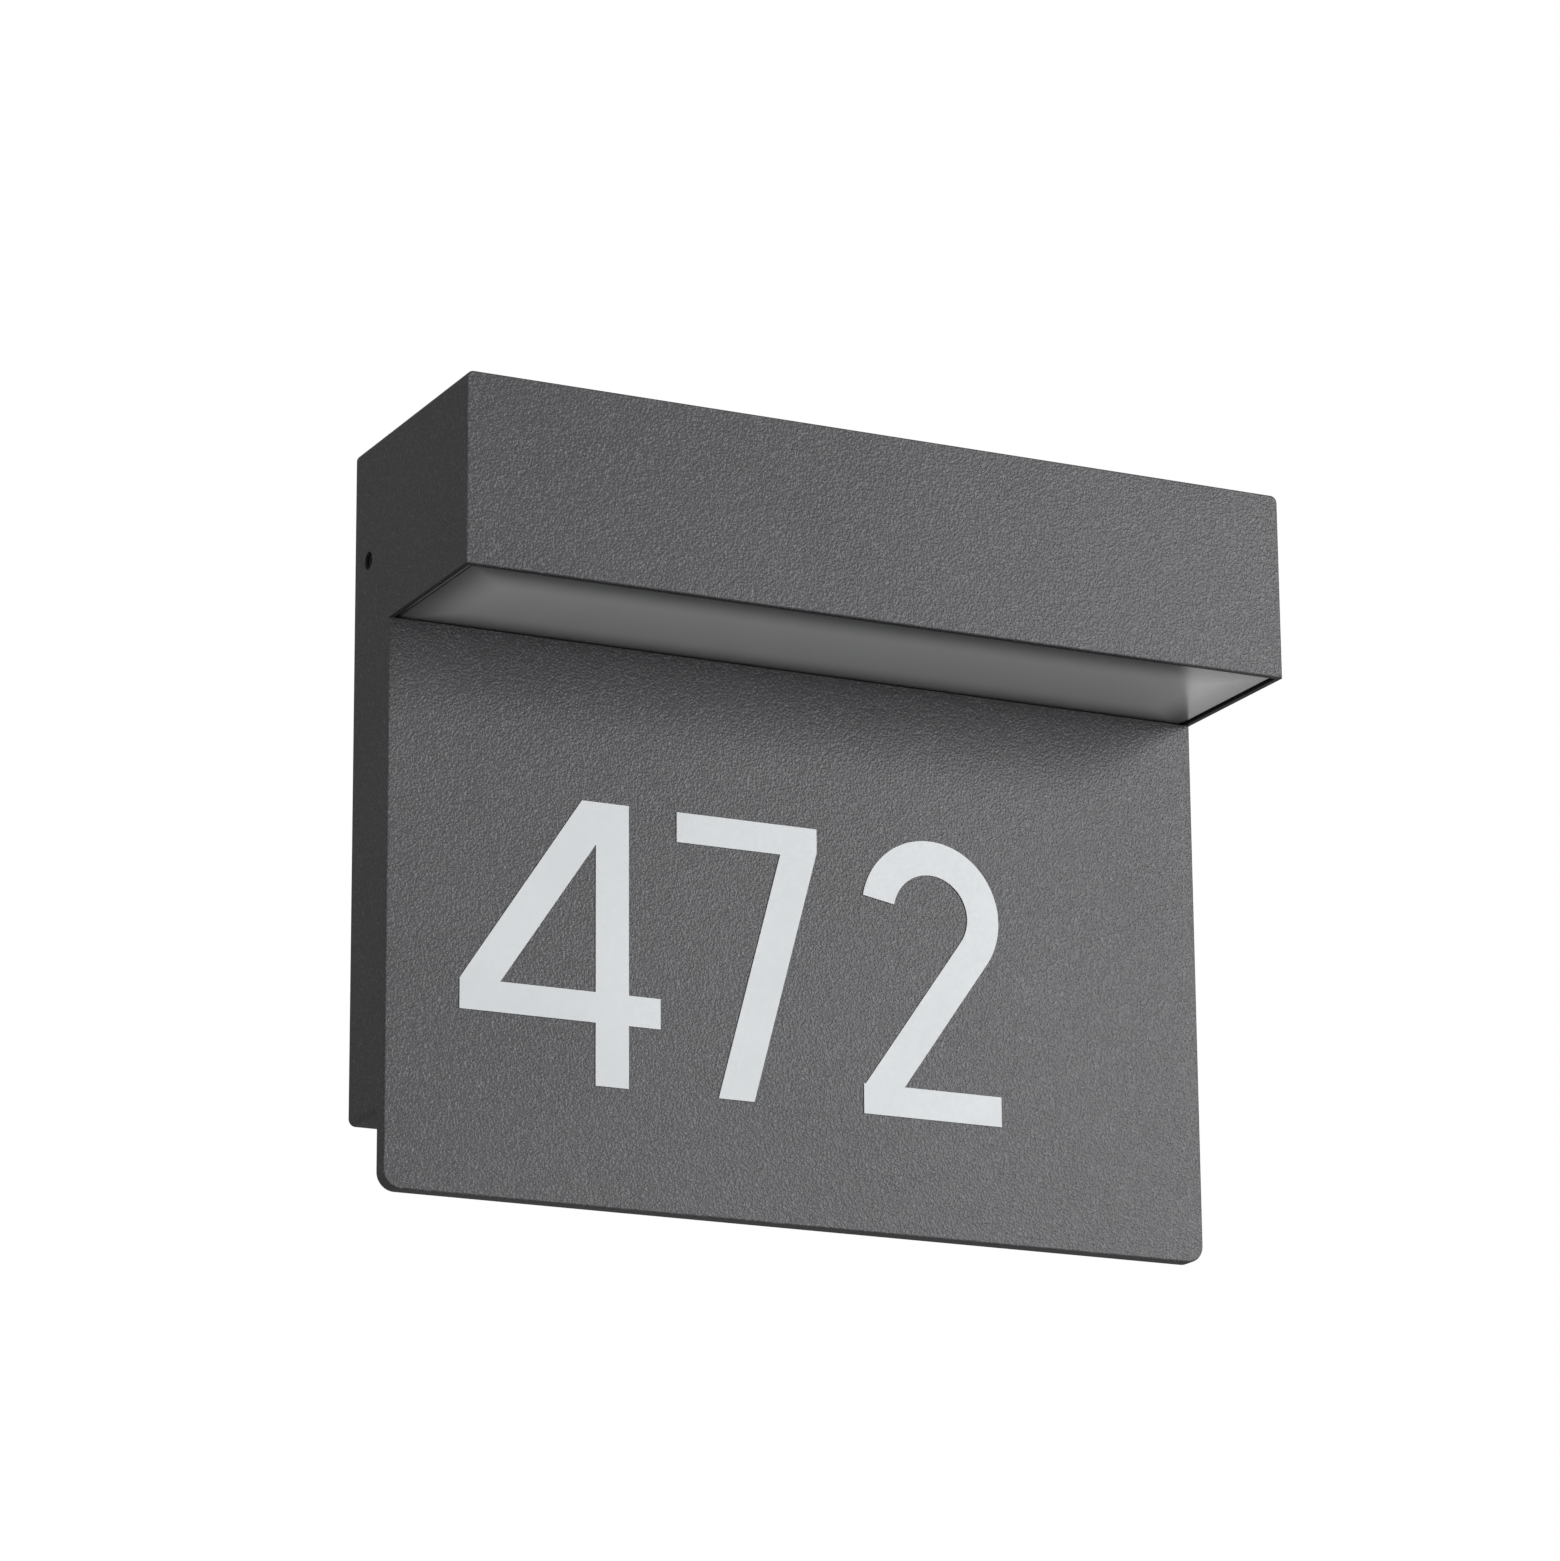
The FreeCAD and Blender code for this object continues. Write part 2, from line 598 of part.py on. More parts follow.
def build_wall_bracket():
    """A sheet strap with both ends turned forward into flanges."""
    body = new_body("wall_bracket")
    gauge = dim["bracket_gauge"]
    half_height = dim["bracket_height"] / 2
    inside = bracket_half - gauge
    profile = sketch_on(body, "profile", "XY_Plane", -half_height)
    draw_polygon(profile, [
        (-bracket_half, ZERO), (bracket_half, ZERO),
        (bracket_half, flange_front), (inside, flange_front),
        (inside, -gauge), (-inside, -gauge),
        (-inside, flange_front), (-bracket_half, flange_front),
    ])
    pad(body, profile, dim["bracket_height"], UP)
    round_edges(body, "outer_bends", gauge * 1.5, lambda edge: runs_along(edge, UP) and is_at(edge, y=ZERO))
    round_edges(body, "inner_bends", gauge / 2, lambda edge: runs_along(edge, UP) and is_at(edge, y=-gauge))
    round_edges(
        body, "flange_corners", dim["flange_corner"],
        lambda edge: runs_along(edge, RIGHT) and is_at(edge, y=flange_front),
    )
    waists = sketch_on(body, "slot_waists", "XZ_Plane", -gauge)
    ends = sketch_on(body, "slot_ends", "XZ_Plane", -gauge)
    for purpose in ("wall", "box"):
        width = dim[f"{purpose}_slot_width"]
        reach = (dim[f"{purpose}_slot_length"] - width) / 2
        for middle in (dim[f"{purpose}_slot_spacing"] / 2, -(dim[f"{purpose}_slot_spacing"] / 2)):
            draw_rectangle(waists, middle - reach, middle + reach, -(width / 2), width / 2)
            draw_circle(ends, middle - reach, ZERO, width)
            draw_circle(ends, middle + reach, ZERO, width)
    draw_circle(ends, cable_hole_column, ZERO, dim["cable_hole_diameter"])
    pocket(body, waists, gauge, TO_WALL)
    pocket(body, ends, gauge, TO_WALL)
    return body


def build_cable_grommet():
    """The rubber bush of the cable hole: a barrel in the hole, a lip and a nose before it."""
    body = new_body("cable_grommet")
    half_bore = dim["grommet_bore"] / 2
    barrel = dim["cable_hole_diameter"] / 2 - dim["thread_play"]
    lip = dim["cable_hole_diameter"] / 2 + dim["grommet_lip"]
    lip_back = -dim["bracket_gauge"]
    lip_face = lip_back - dim["grommet_lip_gauge"]
    nose_face = lip_face - dim["grommet_nose"]
    nose_root = (half_bore + lip) / 2
    nose_tip = (half_bore * 3 + lip) / 4
    middle = cable_hole_column
    profile = sketch_on(body, "profile", "XY_Plane", ZERO)
    draw_polygon(profile, [
        (middle + half_bore, ZERO), (middle + barrel, ZERO), (middle + barrel, lip_back),
        (middle + lip, lip_back), (middle + lip, lip_face), (middle + nose_root, lip_face),
        (middle + nose_tip, nose_face), (middle + half_bore, nose_face),
    ])
    axis_line = profile.addGeometry(Part.LineSegment(vector(middle, 0, 0), vector(middle, -1, 0)), True)
    for end in (1, 2):
        set_distance(profile, "DistanceX", axis_line, end, middle)
    turned = body.newObject("PartDesign::Revolution", "cable_grommet_turned")
    turned.Profile = profile
    turned.ReferenceAxis = (profile, ["Axis0"])
    turned.Angle = 360
    doc.recompute()
    return body


# ---------------------------------------------------------------------------------------------
# The housing and what closes it
# ---------------------------------------------------------------------------------------------

def add_boss(body, name, across, level, diameter, height, hole, hole_depth):
    """A boss on the front wall's inner face, with a blind hole for its screw."""
    foot = sketch_on(body, f"{name}_foot", "XZ_Plane", web_back)
    draw_circle(foot, across, level, diameter)
    pad(body, foot, height, TO_WALL)
    mouth = sketch_on(body, f"{name}_mouth", "XZ_Plane", web_back + height)
    draw_circle(mouth, across, level, hole)
    pocket(body, mouth, hole_depth, TO_ROOM)


def build_lamp_housing():
    """The casting: hood, rear shell, the web between them, and their bosses."""
    body = new_body("lamp_housing")

    shell = sketch_on(body, "shell", "XZ_Plane", ZERO)
    draw_rectangle(shell, -half_width, half_width, shell_base, hood_top)
    pad(body, shell, dim["shell_depth"], TO_ROOM)
    hood = sketch_on(body, "hood", "XZ_Plane", ZERO)
    draw_rectangle(hood, -half_width, half_width, hood_base, hood_top)
    pad(body, hood, -hood_face, TO_ROOM)

    round_edges(
        body, "outline", dim["outline_radius"],
        lambda edge: runs_along(edge, TO_WALL) and (is_at(edge, z=hood_top) or is_at(edge, z=shell_base)),
    )
    round_edges(body, "front_edges", dim["front_radius"], lambda edge: is_at(edge, y=hood_face))

    compartment = sketch_on(body, "compartment", "XZ_Plane", ZERO)
    draw_rectangle(compartment, -inner_half, inner_half, shell_base + dim["casting_wall"], ceiling)
    pocket(body, compartment, -web_back, TO_ROOM)
    chamber = sketch_on(body, "chamber", "XY_Plane", hood_base)
    draw_rectangle(chamber, -inner_half, inner_half, chamber_face, plate_back)
    pocket(body, chamber, ceiling - hood_base, UP)

    for name, root, mouth, inward in (
        ("grub_left", -inner_half, -half_width, RIGHT),
        ("grub_right", inner_half, half_width, -RIGHT),
    ):
        boss = sketch_on(body, f"{name}_boss", "YZ_Plane", root)
        draw_circle(boss, -dim["grub_setback"], ZERO, dim["grub_boss_diameter"])
        pad(body, boss, grub_boss_length, inward)
        hole = sketch_on(body, f"{name}_hole", "YZ_Plane", mouth)
        draw_circle(hole, -dim["grub_setback"], ZERO, dim["grub_diameter"] + dim["thread_play"] * 2)
        pocket(body, hole, dim["casting_wall"] + grub_boss_length, inward)

    plate_holes = sketch_on(body, "plate_holes", "XZ_Plane", web_back)
    for row in plate_screw_rows:
        for column in plate_screw_columns:
            draw_circle(plate_holes, column, row, clearance_bore)
    draw_circle(plate_holes, connector_column, lead_hole_level, dim["lead_grommet_diameter"])
    pocket(body, plate_holes, dim["casting_wall"], TO_ROOM)

    tray_bosses = sketch_on(body, "tray_bosses", "XY_Plane", ceiling)
    tray_mouths = sketch_on(body, "tray_mouths", "XY_Plane", roof_high)
    for across, along in tray_screw_places:
        draw_circle(tray_bosses, across, along, dim["tray_boss_diameter"])
        draw_circle(tray_mouths, across, along, thread_bore)
    pad(body, tray_bosses, dim["tray_boss_length"], -UP)
    tray_hole_depth = dim["tray_screw_length"] - dim["tray_gauge"] + dim["screw_end_room"]
    pocket(body, tray_mouths, tray_hole_depth, UP)

    small_boss = dim["screw_diameter"] * 2
    ear_depth = dim["ear_screw_length"] - dim["ear_gauge"] + dim["screw_end_room"]
    for side, column in zip(("left", "right"), ear_screw_columns):
        add_boss(body, f"ear_{side}", column, ear_screw_level, small_boss, dim["ear_boss_height"],
                 thread_bore, ear_depth)
    for side, column in zip(("left", "right"), terminal_screw_columns):
        add_boss(body, f"terminal_{side}", column, terminal_middle, small_boss, dim["terminal_boss_height"],
                 thread_bore, dim["terminal_boss_height"])
    earth_thread = dim["earth_screw_diameter"] + dim["thread_play"] * 2
    add_boss(body, "earth", earth_column, earth_level, dim["earth_boss_diameter"], dim["earth_boss_height"],
             earth_thread, earth_hole_depth)
    return body


def build_number_plate():
    """The plate that carries the figures, with blind threaded holes in its back."""
    body = new_body("number_plate")
    outline = sketch_on(body, "outline", "XZ_Plane", plate_back)
    draw_rectangle(outline, -half_width, half_width, plate_base, hood_base)
    pad(body, outline, dim["plate_gauge"], TO_ROOM)
    round_edges(
        body, "lower_corners", dim["plate_corner"],
        lambda edge: runs_along(edge, TO_WALL) and is_at(edge, z=plate_base),
    )
    round_edges(
        body, "front_edges", dim["front_radius"],
        lambda edge: is_at(edge, y=plate_face) and not is_at(edge, z=hood_base),
    )
    threads = sketch_on(body, "threads", "XZ_Plane", plate_back)
    for row in plate_screw_rows:
        for column in plate_screw_columns:
            draw_circle(threads, column, row, thread_bore)
    pocket(body, threads, plate_screw_grip + dim["screw_end_room"], TO_ROOM)
    return body


def build_plate_screws():
    """The screws that hold the number plate from inside the rear shell."""
    seats = [(column, web_back, row) for row in plate_screw_rows for column in plate_screw_columns]
    screw = small_screw(dim["casting_wall"] + plate_screw_grip)
    return screws_at("plate_screws", screw, seats, TO_ROOM)


def build_wall_gasket():
    """The foam ring inside the rear rim of the shell."""
    back = -dim["gasket_depth"]
    floor = shell_base + dim["casting_wall"]
    ring = dim["gasket_width"]
    outer = new_box("gasket_outer", (-inner_half, back, floor), (inner_half, ZERO, ceiling))
    window = new_box(
        "gasket_window", (-inner_half + ring, back, floor + ring), (inner_half - ring, ZERO, ceiling - ring)
    )
    return new_cut("wall_gasket", outer, [window])


# ---------------------------------------------------------------------------------------------
# The figures
# ---------------------------------------------------------------------------------------------

def figure_point(margin, drop):
    """A point on the plate's face, from the plate's left edge and the top of the figures."""
    level = hood_base - dim["numeral_drop"] - drop
    return vector(-half_width + margin, plate_face, level)


def film(outline):
    """Adhesive film within an outline on the plate's face."""
    return Part.Face(outline).extrude(TO_ROOM * dim["numeral_film"].number)


def film_polygon(corners):
    """Film within straight sides, whose corners are given as margins and drops."""
    points = [figure_point(margin, drop) for margin, drop in corners]
    return film(Part.makePolygon(points + points[:1]))


def build_four():
    """The figure four."""
    left = dim["four_margin"]
    right = four_right
    stem_right = right - dim["four_tail"]
    stem_left = stem_right - dim["numeral_stroke"]
    foot = dim["numeral_height"]
    bar_low = foot - dim["four_foot"]
    bar_high = bar_low - dim["numeral_bar"]
    outline = film_polygon([
        (stem_left - dim["four_shoulder"], ZERO), (stem_right, ZERO), (stem_right, bar_high),
        (right, bar_high), (right, bar_low), (stem_right, bar_low), (stem_right, foot),
        (stem_left, foot), (stem_left, bar_low), (left, bar_low), (left, bar_high),
    ])
    counter = film_polygon([
        (stem_left, dim["four_peak"]), (stem_left, bar_high),
        (left + dim["numeral_stroke"] * 1.2, bar_high),
    ])
    new_shape("numeral_left", outline.cut(counter))


def build_seven():
    """The figure seven."""
    left = four_right + dim["four_gap"]
    right = seven_right
    foot = left + dim["seven_foot_inset"]
    bar = dim["numeral_bar"]
    new_shape("numeral_middle", film_polygon([
        (left, ZERO), (right, ZERO), (right, bar * 0.8),
        (foot + dim["seven_foot_width"], dim["numeral_height"]), (foot, dim["numeral_height"]),
        (right - dim["seven_neck"], bar), (left, bar),
    ]))


def build_two():
    """The figure two: a bowl, the slant that leaves it at a tangent, and a bar at the foot."""
    left = seven_right + dim["seven_gap"]
    right = left + dim["two_width"]
    top = -dim["two_overshoot"]
    foot = dim["numeral_height"]
    outer = dim["two_width"] / 2
    inner = outer - dim["numeral_stroke"]
    centre = figure_point(left + outer, top + outer)
    begin = 180 - dim["two_hook"].number
    finish = -dim["two_turn"].number

    def bowl_point(radius, degrees):
        angle = math.radians(degrees)
        return centre + FreeCAD.Vector(math.cos(angle), 0, math.sin(angle)) * radius.number

    def bowl_arc(radius):
        angles = (begin, (begin + finish) / 2, finish)
        return Part.Arc(*(bowl_point(radius, angle) for angle in angles)).toShape()

    ends = [Part.makeLine(bowl_point(inner, angle), bowl_point(outer, angle)) for angle in (begin, finish)]
    bowl = film(Part.Wire(Part.__sortEdges__([bowl_arc(outer), bowl_arc(inner), *ends])))
    turned = math.radians(finish)
    downhill = FreeCAD.Vector(math.sin(turned), 0, -math.cos(turned)) * foot.number
    slant_top = (bowl_point(inner, finish), bowl_point(outer, finish))
    slant = film(Part.makePolygon([
        slant_top[0], slant_top[1], slant_top[1] + downhill, slant_top[0] + downhill, slant_top[0],
    ]))
    bar_top = foot - dim["numeral_bar"]
    bar = film_polygon([(left, bar_top), (right, bar_top), (right, foot), (left, foot)])
    field = film_polygon([(left, top), (right, top), (right, foot), (left, foot)])
    new_shape("numeral_right", bowl.fuse([slant, bar]).common(field).removeSplitter())


# ---------------------------------------------------------------------------------------------
# The light chamber
# ---------------------------------------------------------------------------------------------

def build_diffuser():
    """The satin panel in the underside of the hood."""
    body = new_body("diffuser")
    gap = dim["seal_gap"]
    outline = sketch_on(body, "outline", "XY_Plane", panel_low)
    draw_rectangle(outline, -inner_half + gap, inner_half - gap, chamber_face + gap, plate_back - gap)
    pad(body, outline, dim["panel_gauge"], UP)
    round_edges(body, "lower_edges", dim["front_radius"], lambda edge: is_at(edge, z=panel_low))
    return body


def build_diffuser_seal():
    """Silicone round the panel and between the panel and the tray's rim."""
    gap = dim["seal_gap"]
    lap = gap + dim["seal_lap"]
    low = hood_base + dim["panel_recess"] + dim["seal_inset"]
    whole = new_box("seal_whole", (-inner_half, chamber_face, low), (inner_half, plate_back, rim_low))
    panel = new_box(
        "seal_panel", (-inner_half + gap, chamber_face + gap, low),
        (inner_half - gap, plate_back - gap, panel_high),
    )
    window = new_box(
        "seal_window", (-inner_half + lap, chamber_face + lap, low),
        (inner_half - lap, plate_back - lap, rim_low),
    )
    return new_cut("diffuser_seal", whole, [panel, window])


def build_led_tray():
    """A white sheet tray, open below, with a rim that bears on the seal."""
    body = new_body("led_tray")
    rim = sketch_on(body, "rim", "XY_Plane", rim_low)
    draw_rectangle(rim, -tray_rim_half, tray_rim_half, tray_rim_front, tray_rim_back)
    pad(body, rim, dim["tray_gauge"], UP)
    walls = sketch_on(body, "walls", "XY_Plane", rim_low)
    draw_rectangle(walls, -tray_half, tray_half, tray_front, tray_back)
    pad(body, walls, roof_high - rim_low, UP)
    round_edges(
        body, "corners", dim["tray_gauge"] * 2,
        lambda edge: runs_along(edge, UP) and edge.BoundBox.ZMax > rim_high.number + 1,
    )
    gauge = dim["tray_gauge"]
    inside = sketch_on(body, "inside", "XY_Plane", rim_low)
    draw_rectangle(inside, -tray_half + gauge, tray_half - gauge, tray_front + gauge, tray_back - gauge)
    pocket(body, inside, roof_low - rim_low, UP)
    roof_holes = sketch_on(body, "roof_holes", "XY_Plane", roof_low)
    for across, along in tray_screw_places:
        draw_circle(roof_holes, across, along, clearance_bore)
    for column in board_screw_columns:
        draw_circle(roof_holes, column, chamber_middle, thread_bore)
    pocket(body, roof_holes, gauge, UP)
    lead_hole = sketch_on(body, "lead_hole", "XZ_Plane", tray_back)
    draw_circle(lead_hole, connector_column, lead_hole_level, dim["tray_lead_hole"])
    pocket(body, lead_hole, gauge, TO_ROOM)
    return body


def build_led_board():
    """The lamp board under the tray's roof."""
    half_board = dim["board_width"] / 2
    board = new_box(
        "board_sheet", (-board_half, chamber_middle - half_board, board_low),
        (board_half, chamber_middle + half_board, roof_low),
    )
    holes = [
        new_cylinder(f"board_hole_{n}", (column, chamber_middle, board_low), UP, clearance_bore,
                     dim["board_gauge"])
        for n, column in enumerate(board_screw_columns, start=1)
    ]
    return new_cut("led_board", board, holes)


def build_led_chips():
    """One row of lamp chips under the board."""
    count = round(dim["chip_count"].number)
    half_length = dim["chip_length"] / 2
    half_width_of_chip = dim["chip_width"] / 2
    outermost = board_half - dim["chip_margin"] - half_length
    chips = []
    for step in range(count):
        middle = outermost * (2 * step / (count - 1) - 1)
        chips.append(new_box(
            f"chip_{step + 1}",
            (middle - half_length, chip_row - half_width_of_chip, board_low - dim["chip_height"]),
            (middle + half_length, chip_row + half_width_of_chip, board_low),
        ))
    return new_group("led_chips", chips)


def build_led_connector():
    """The push-in connector at the board's end, with its leads from below."""
    middle = connector_column
    half_length = dim["connector_length"] / 2
    front = connector_middle - dim["connector_width"] / 2
    back = connector_middle + dim["connector_width"] / 2
    half_groove = dim["lamp_lead_diameter"] / 4
    groove_top = connector_low + dim["connector_height"] / 4
    block = new_box(
        "connector_block",
        (middle - half_length, front, connector_low),
        (middle + half_length, back, board_low),
    )
    groove = new_box(
        "connector_groove",
        (middle - half_groove, front, connector_low),
        (middle + half_groove, back, groove_top),
    )
    return new_cut("led_connector", block, [groove])


def build_tray_screws():
    """The screws that hold the tray on the bosses of the hood's ceiling."""
    seats = [(across, along, roof_low) for across, along in tray_screw_places]
    return screws_at("tray_screws", small_screw(dim["tray_screw_length"]), seats, UP)


def build_board_screws():
    """The screws that hold the lamp board on the tray's roof."""
    seats = [(column, chamber_middle, board_low) for column in board_screw_columns]
    return screws_at("board_screws", small_screw(dim["board_screw_length"]), seats, UP)


# ---------------------------------------------------------------------------------------------
# The rear compartment
# ---------------------------------------------------------------------------------------------

def build_lead_grommet():
    """The rubber bush where the lamp leads pass the web: a barrel with a lip on each side."""
    middle = connector_column
    barrel_diameter = dim["lead_grommet_diameter"] - dim["thread_play"] * 2
    lip_diameter = dim["lead_grommet_diameter"] + dim["lead_grommet_lip"] * 2
    lip = dim["lead_grommet_lip_gauge"]
    length = dim["casting_wall"] + lip * 2
    front = (middle, plate_back - lip, lead_hole_level)
    back = (middle, web_back, lead_hole_level)
    whole = new_fusion("lead_grommet_whole", [
        new_cylinder("lead_grommet_barrel", front, TO_WALL, barrel_diameter, length),
        new_cylinder("lead_grommet_front_lip", front, TO_WALL, lip_diameter, lip),
        new_cylinder("lead_grommet_back_lip", back, TO_WALL, lip_diameter, lip),
    ])
    bore = dim["lamp_lead_diameter"] + dim["lead_play"] * 2
    bores = []
    for name, share in (("left", -0.5), ("right", 0.5)):
        start = (middle + dim["lamp_lead_spacing"] * share, *front[1:])
        bores.append(new_cylinder(f"lead_grommet_bore_{name}", start, TO_WALL, bore, length))
    return new_cut("lead_grommet", whole, bores)


def build_driver_case():
    """The driver's case, open towards the wall, with an ear at each end."""
    body = new_body("driver_case")
    wall = dim["driver_wall"]
    outline = sketch_on(body, "outline", "XZ_Plane", web_back)
    draw_rectangle(outline, driver_left, driver_right, driver_low, driver_high)
    pad(body, outline, driver_seam - web_back, TO_WALL)
    round_edges(body, "corners", dim["driver_corner"], lambda edge: runs_along(edge, TO_WALL))
    inside = sketch_on(body, "inside", "XZ_Plane", driver_seam)
    draw_rectangle(inside, driver_left + wall, driver_right - wall, driver_low + wall, driver_high - wall)
    pocket(body, inside, driver_seam - web_back - wall, TO_ROOM)
    posts = sketch_on(body, "posts", "XZ_Plane", web_back + wall)
    post = dim["driver_post"]
    margin = wall + dim["driver_board_play"] + post
    for across in (driver_left + margin, driver_right - margin):
        for level in (driver_low + margin, driver_high - margin):
            draw_circle(posts, across, level, post * 1.6)
    pad(body, posts, post, TO_WALL)
    ears = sketch_on(body, "ears", "XZ_Plane", ear_back)
    ear_high = ear_low + dim["ear_width"]
    lap = wall / 2
    draw_rectangle(ears, driver_left - dim["ear_length"], driver_left + lap, ear_low, ear_high)
    draw_rectangle(ears, driver_right - lap, driver_right + dim["ear_length"], ear_low, ear_high)
    pad(body, ears, dim["ear_gauge"], TO_WALL)
    ear_holes = sketch_on(body, "ear_holes", "XZ_Plane", ear_face)
    for column in ear_screw_columns:
        draw_circle(ear_holes, column, ear_screw_level, clearance_bore)
    pocket(body, ear_holes, dim["ear_gauge"], TO_ROOM)
    return body


def build_driver_lid():
    """The driver's lid, with a rib that locates it inside the case."""
    body = new_body("driver_lid")
    wall = dim["driver_wall"]
    outline = sketch_on(body, "outline", "XZ_Plane", driver_seam)
    draw_rectangle(outline, driver_left, driver_right, driver_low, driver_high)
    pad(body, outline, wall, TO_WALL)
    round_edges(body, "corners", dim["driver_corner"], lambda edge: runs_along(edge, TO_WALL))
    round_edges(body, "face_edges", wall / 3, lambda edge: is_at(edge, y=driver_face))
    inset = wall + dim["clamp_play"]
    rib = sketch_on(body, "rib", "XZ_Plane", driver_seam)
    draw_rectangle(rib, driver_left + inset, driver_right - inset, driver_low + inset, driver_high - inset)
    draw_rectangle(rib, driver_left + inset + wall, driver_right - inset - wall,
                   driver_low + inset + wall, driver_high - inset - wall)
    pad(body, rib, wall, TO_ROOM)
    return body


def build_driver_board():
    """The circuit board on the posts of the driver's case."""
    margin = dim["driver_wall"] + dim["driver_board_play"]
    seat = web_back + dim["driver_wall"] + dim["driver_post"]
    board = new_box(
        "driver_board", (driver_left + margin, seat, driver_low + margin),
        (driver_right - margin, seat + dim["driver_board_gauge"], driver_high - margin),
    )
    return board


def build_driver_components():
    """Transformer, capacitors, coils and chips on the driver's board."""
    seat = web_back + dim["driver_wall"] + dim["driver_post"] + dim["driver_board_gauge"]
    room = driver_seam - dim["driver_wall"] - dim["component_play"] - seat
    margin = dim["driver_wall"] + dim["driver_board_play"]
    board_length = dim["driver_length"] - margin * 2
    board_height = dim["driver_height"] - margin * 2
    # name, place along and across the board, size along and across, share of the room's height
    blocks = (
        ("transformer", 0, 0, dim["transformer_length"], dim["transformer_width"], 1),
        ("choke", 0.32, 0, dim["choke_size"], dim["choke_size"], 0.8),
        ("bridge", -0.3, 0, dim["bridge_size"], dim["bridge_size"], 0.5),
        ("controller", -0.19, -0.24, dim["controller_size"], dim["controller_size"], 0.3),
    )
    cans = (
        ("coil", -0.41, 0, dim["coil_diameter"], 0.9),
        ("input_capacitor", -0.19, 0.18, dim["capacitor_diameter"], 1),
        ("output_capacitor", 0.18, 0.2, dim["capacitor_diameter"], 1),
        ("filter_capacitor", 0.18, -0.2, dim["capacitor_diameter"], 1),
    )
    parts = []
    for name, along, across, length, width, share in blocks:
        middle = (dim["driver_shift"] + board_length * along, driver_middle + board_height * across)
        parts.append(new_box(
            name, (middle[0] - length / 2, seat, middle[1] - width / 2),
            (middle[0] + length / 2, seat + room * share, middle[1] + width / 2),
        ))
    for name, along, across, diameter, share in cans:
        start = (dim["driver_shift"] + board_length * along, seat, driver_middle + board_height * across)
        parts.append(new_cylinder(name, start, TO_WALL, diameter, room * share))
    return new_group("driver_components", parts)


def build_driver_screws():
    """The screws of the driver's ears."""
    seats = [(column, ear_face, ear_screw_level) for column in ear_screw_columns]
    return screws_at("driver_screws", small_screw(dim["ear_screw_length"]), seats, TO_ROOM)


def clamp_screw_levels():
    """Levels of the two clamping screws of a pole."""
    return [terminal_middle + dim["clamp_screw_spacing"] * share for share in (-0.5, 0.5)]


def build_terminal_block():
    """The body of the three-pole terminal block."""
    half_length = dim["terminal_pitch"] + dim["terminal_end"]
    half_block = dim["terminal_width"] / 2
    middle = -dim["terminal_offset"]
    low = terminal_middle - half_block
    body = new_box(
        "terminal_body", (middle - half_length, terminal_back, low),
        (middle + half_length, terminal_face, terminal_middle + half_block),
    )
    tools = []
    for pole, column in enumerate(pole_columns, start=1):
        tools.append(new_cylinder(
            f"pole_{pole}_bore", (column, terminal_axis, low), UP,
            dim["clamp_diameter"] + dim["clamp_play"] * 2, dim["terminal_width"],
        ))
        for end, level in zip(("low", "high"), clamp_screw_levels()):
            tools.append(new_cylinder(
                f"pole_{pole}_{end}_well", (column, terminal_axis, level), TO_WALL,
                dim["clamp_screw_diameter"] + dim["clamp_play"] * 4, terminal_face - terminal_axis,
            ))
    for step, column in enumerate(terminal_screw_columns, start=1):
        tools.append(new_cylinder(
            f"terminal_fixing_{step}", (column, terminal_back, terminal_middle), TO_WALL,
            clearance_bore, dim["terminal_depth"],
        ))
    groove = dim["terminal_groove"]
    for step, column in enumerate(terminal_screw_columns, start=1):
        tools.append(new_box(
            f"terminal_groove_{step}", (column - groove / 2, terminal_face - groove, low),
            (column + groove / 2, terminal_face, terminal_middle - screw_head_radius),
        ))
    return new_cut("terminal_block", body, tools)


def build_terminal_clamps():
    """The brass clamps of the poles, each with a bore and two threads."""
    clamps = []
    for pole, column in enumerate(pole_columns, start=1):
        start = (column, terminal_axis, clamp_end)
        brass = new_cylinder(f"clamp_{pole}_brass", start, UP, dim["clamp_diameter"], clamp_length)
        tools = [new_cylinder(f"clamp_{pole}_bore", start, UP, dim["clamp_bore"], clamp_length)]
        for end, level in zip(("low", "high"), clamp_screw_levels()):
            tools.append(new_cylinder(
                f"clamp_{pole}_{end}_thread", (column, terminal_axis, level), TO_WALL,
                dim["clamp_screw_diameter"] + dim["thread_play"] * 2, dim["clamp_diameter"],
            ))
        clamps.append(new_cut(f"clamp_{pole}", brass, tools))
    return new_group("terminal_clamps", clamps)


def build_terminal_clamp_screws():
    """The slotted screws of the clamps, down in their wells."""
    end = terminal_axis + dim["clamp_bore"] / 2
    length = terminal_face - dim["clamp_screw_sink"] - end
    screws = []
    for pole, column in enumerate(pole_columns, start=1):
        for place, level in zip(("low", "high"), clamp_screw_levels()):
            name = f"clamp_screw_{pole}_{place}"
            shank = new_cylinder(f"{name}_shank", (column, end, level), TO_WALL,
                                 dim["clamp_screw_diameter"], length)
            head = terminal_face - dim["clamp_screw_sink"]
            half = dim["clamp_screw_diameter"] / 2
            slot = dim["clamp_screw_diameter"] / 10
            slot_box = new_box(
                f"{name}_slot",
                (column - half, head - slot * 3, level - slot),
                (column + half, head, level + slot),
            )
            screws.append(new_cut(name, shank, [slot_box]))
    return new_group("terminal_clamp_screws", screws)


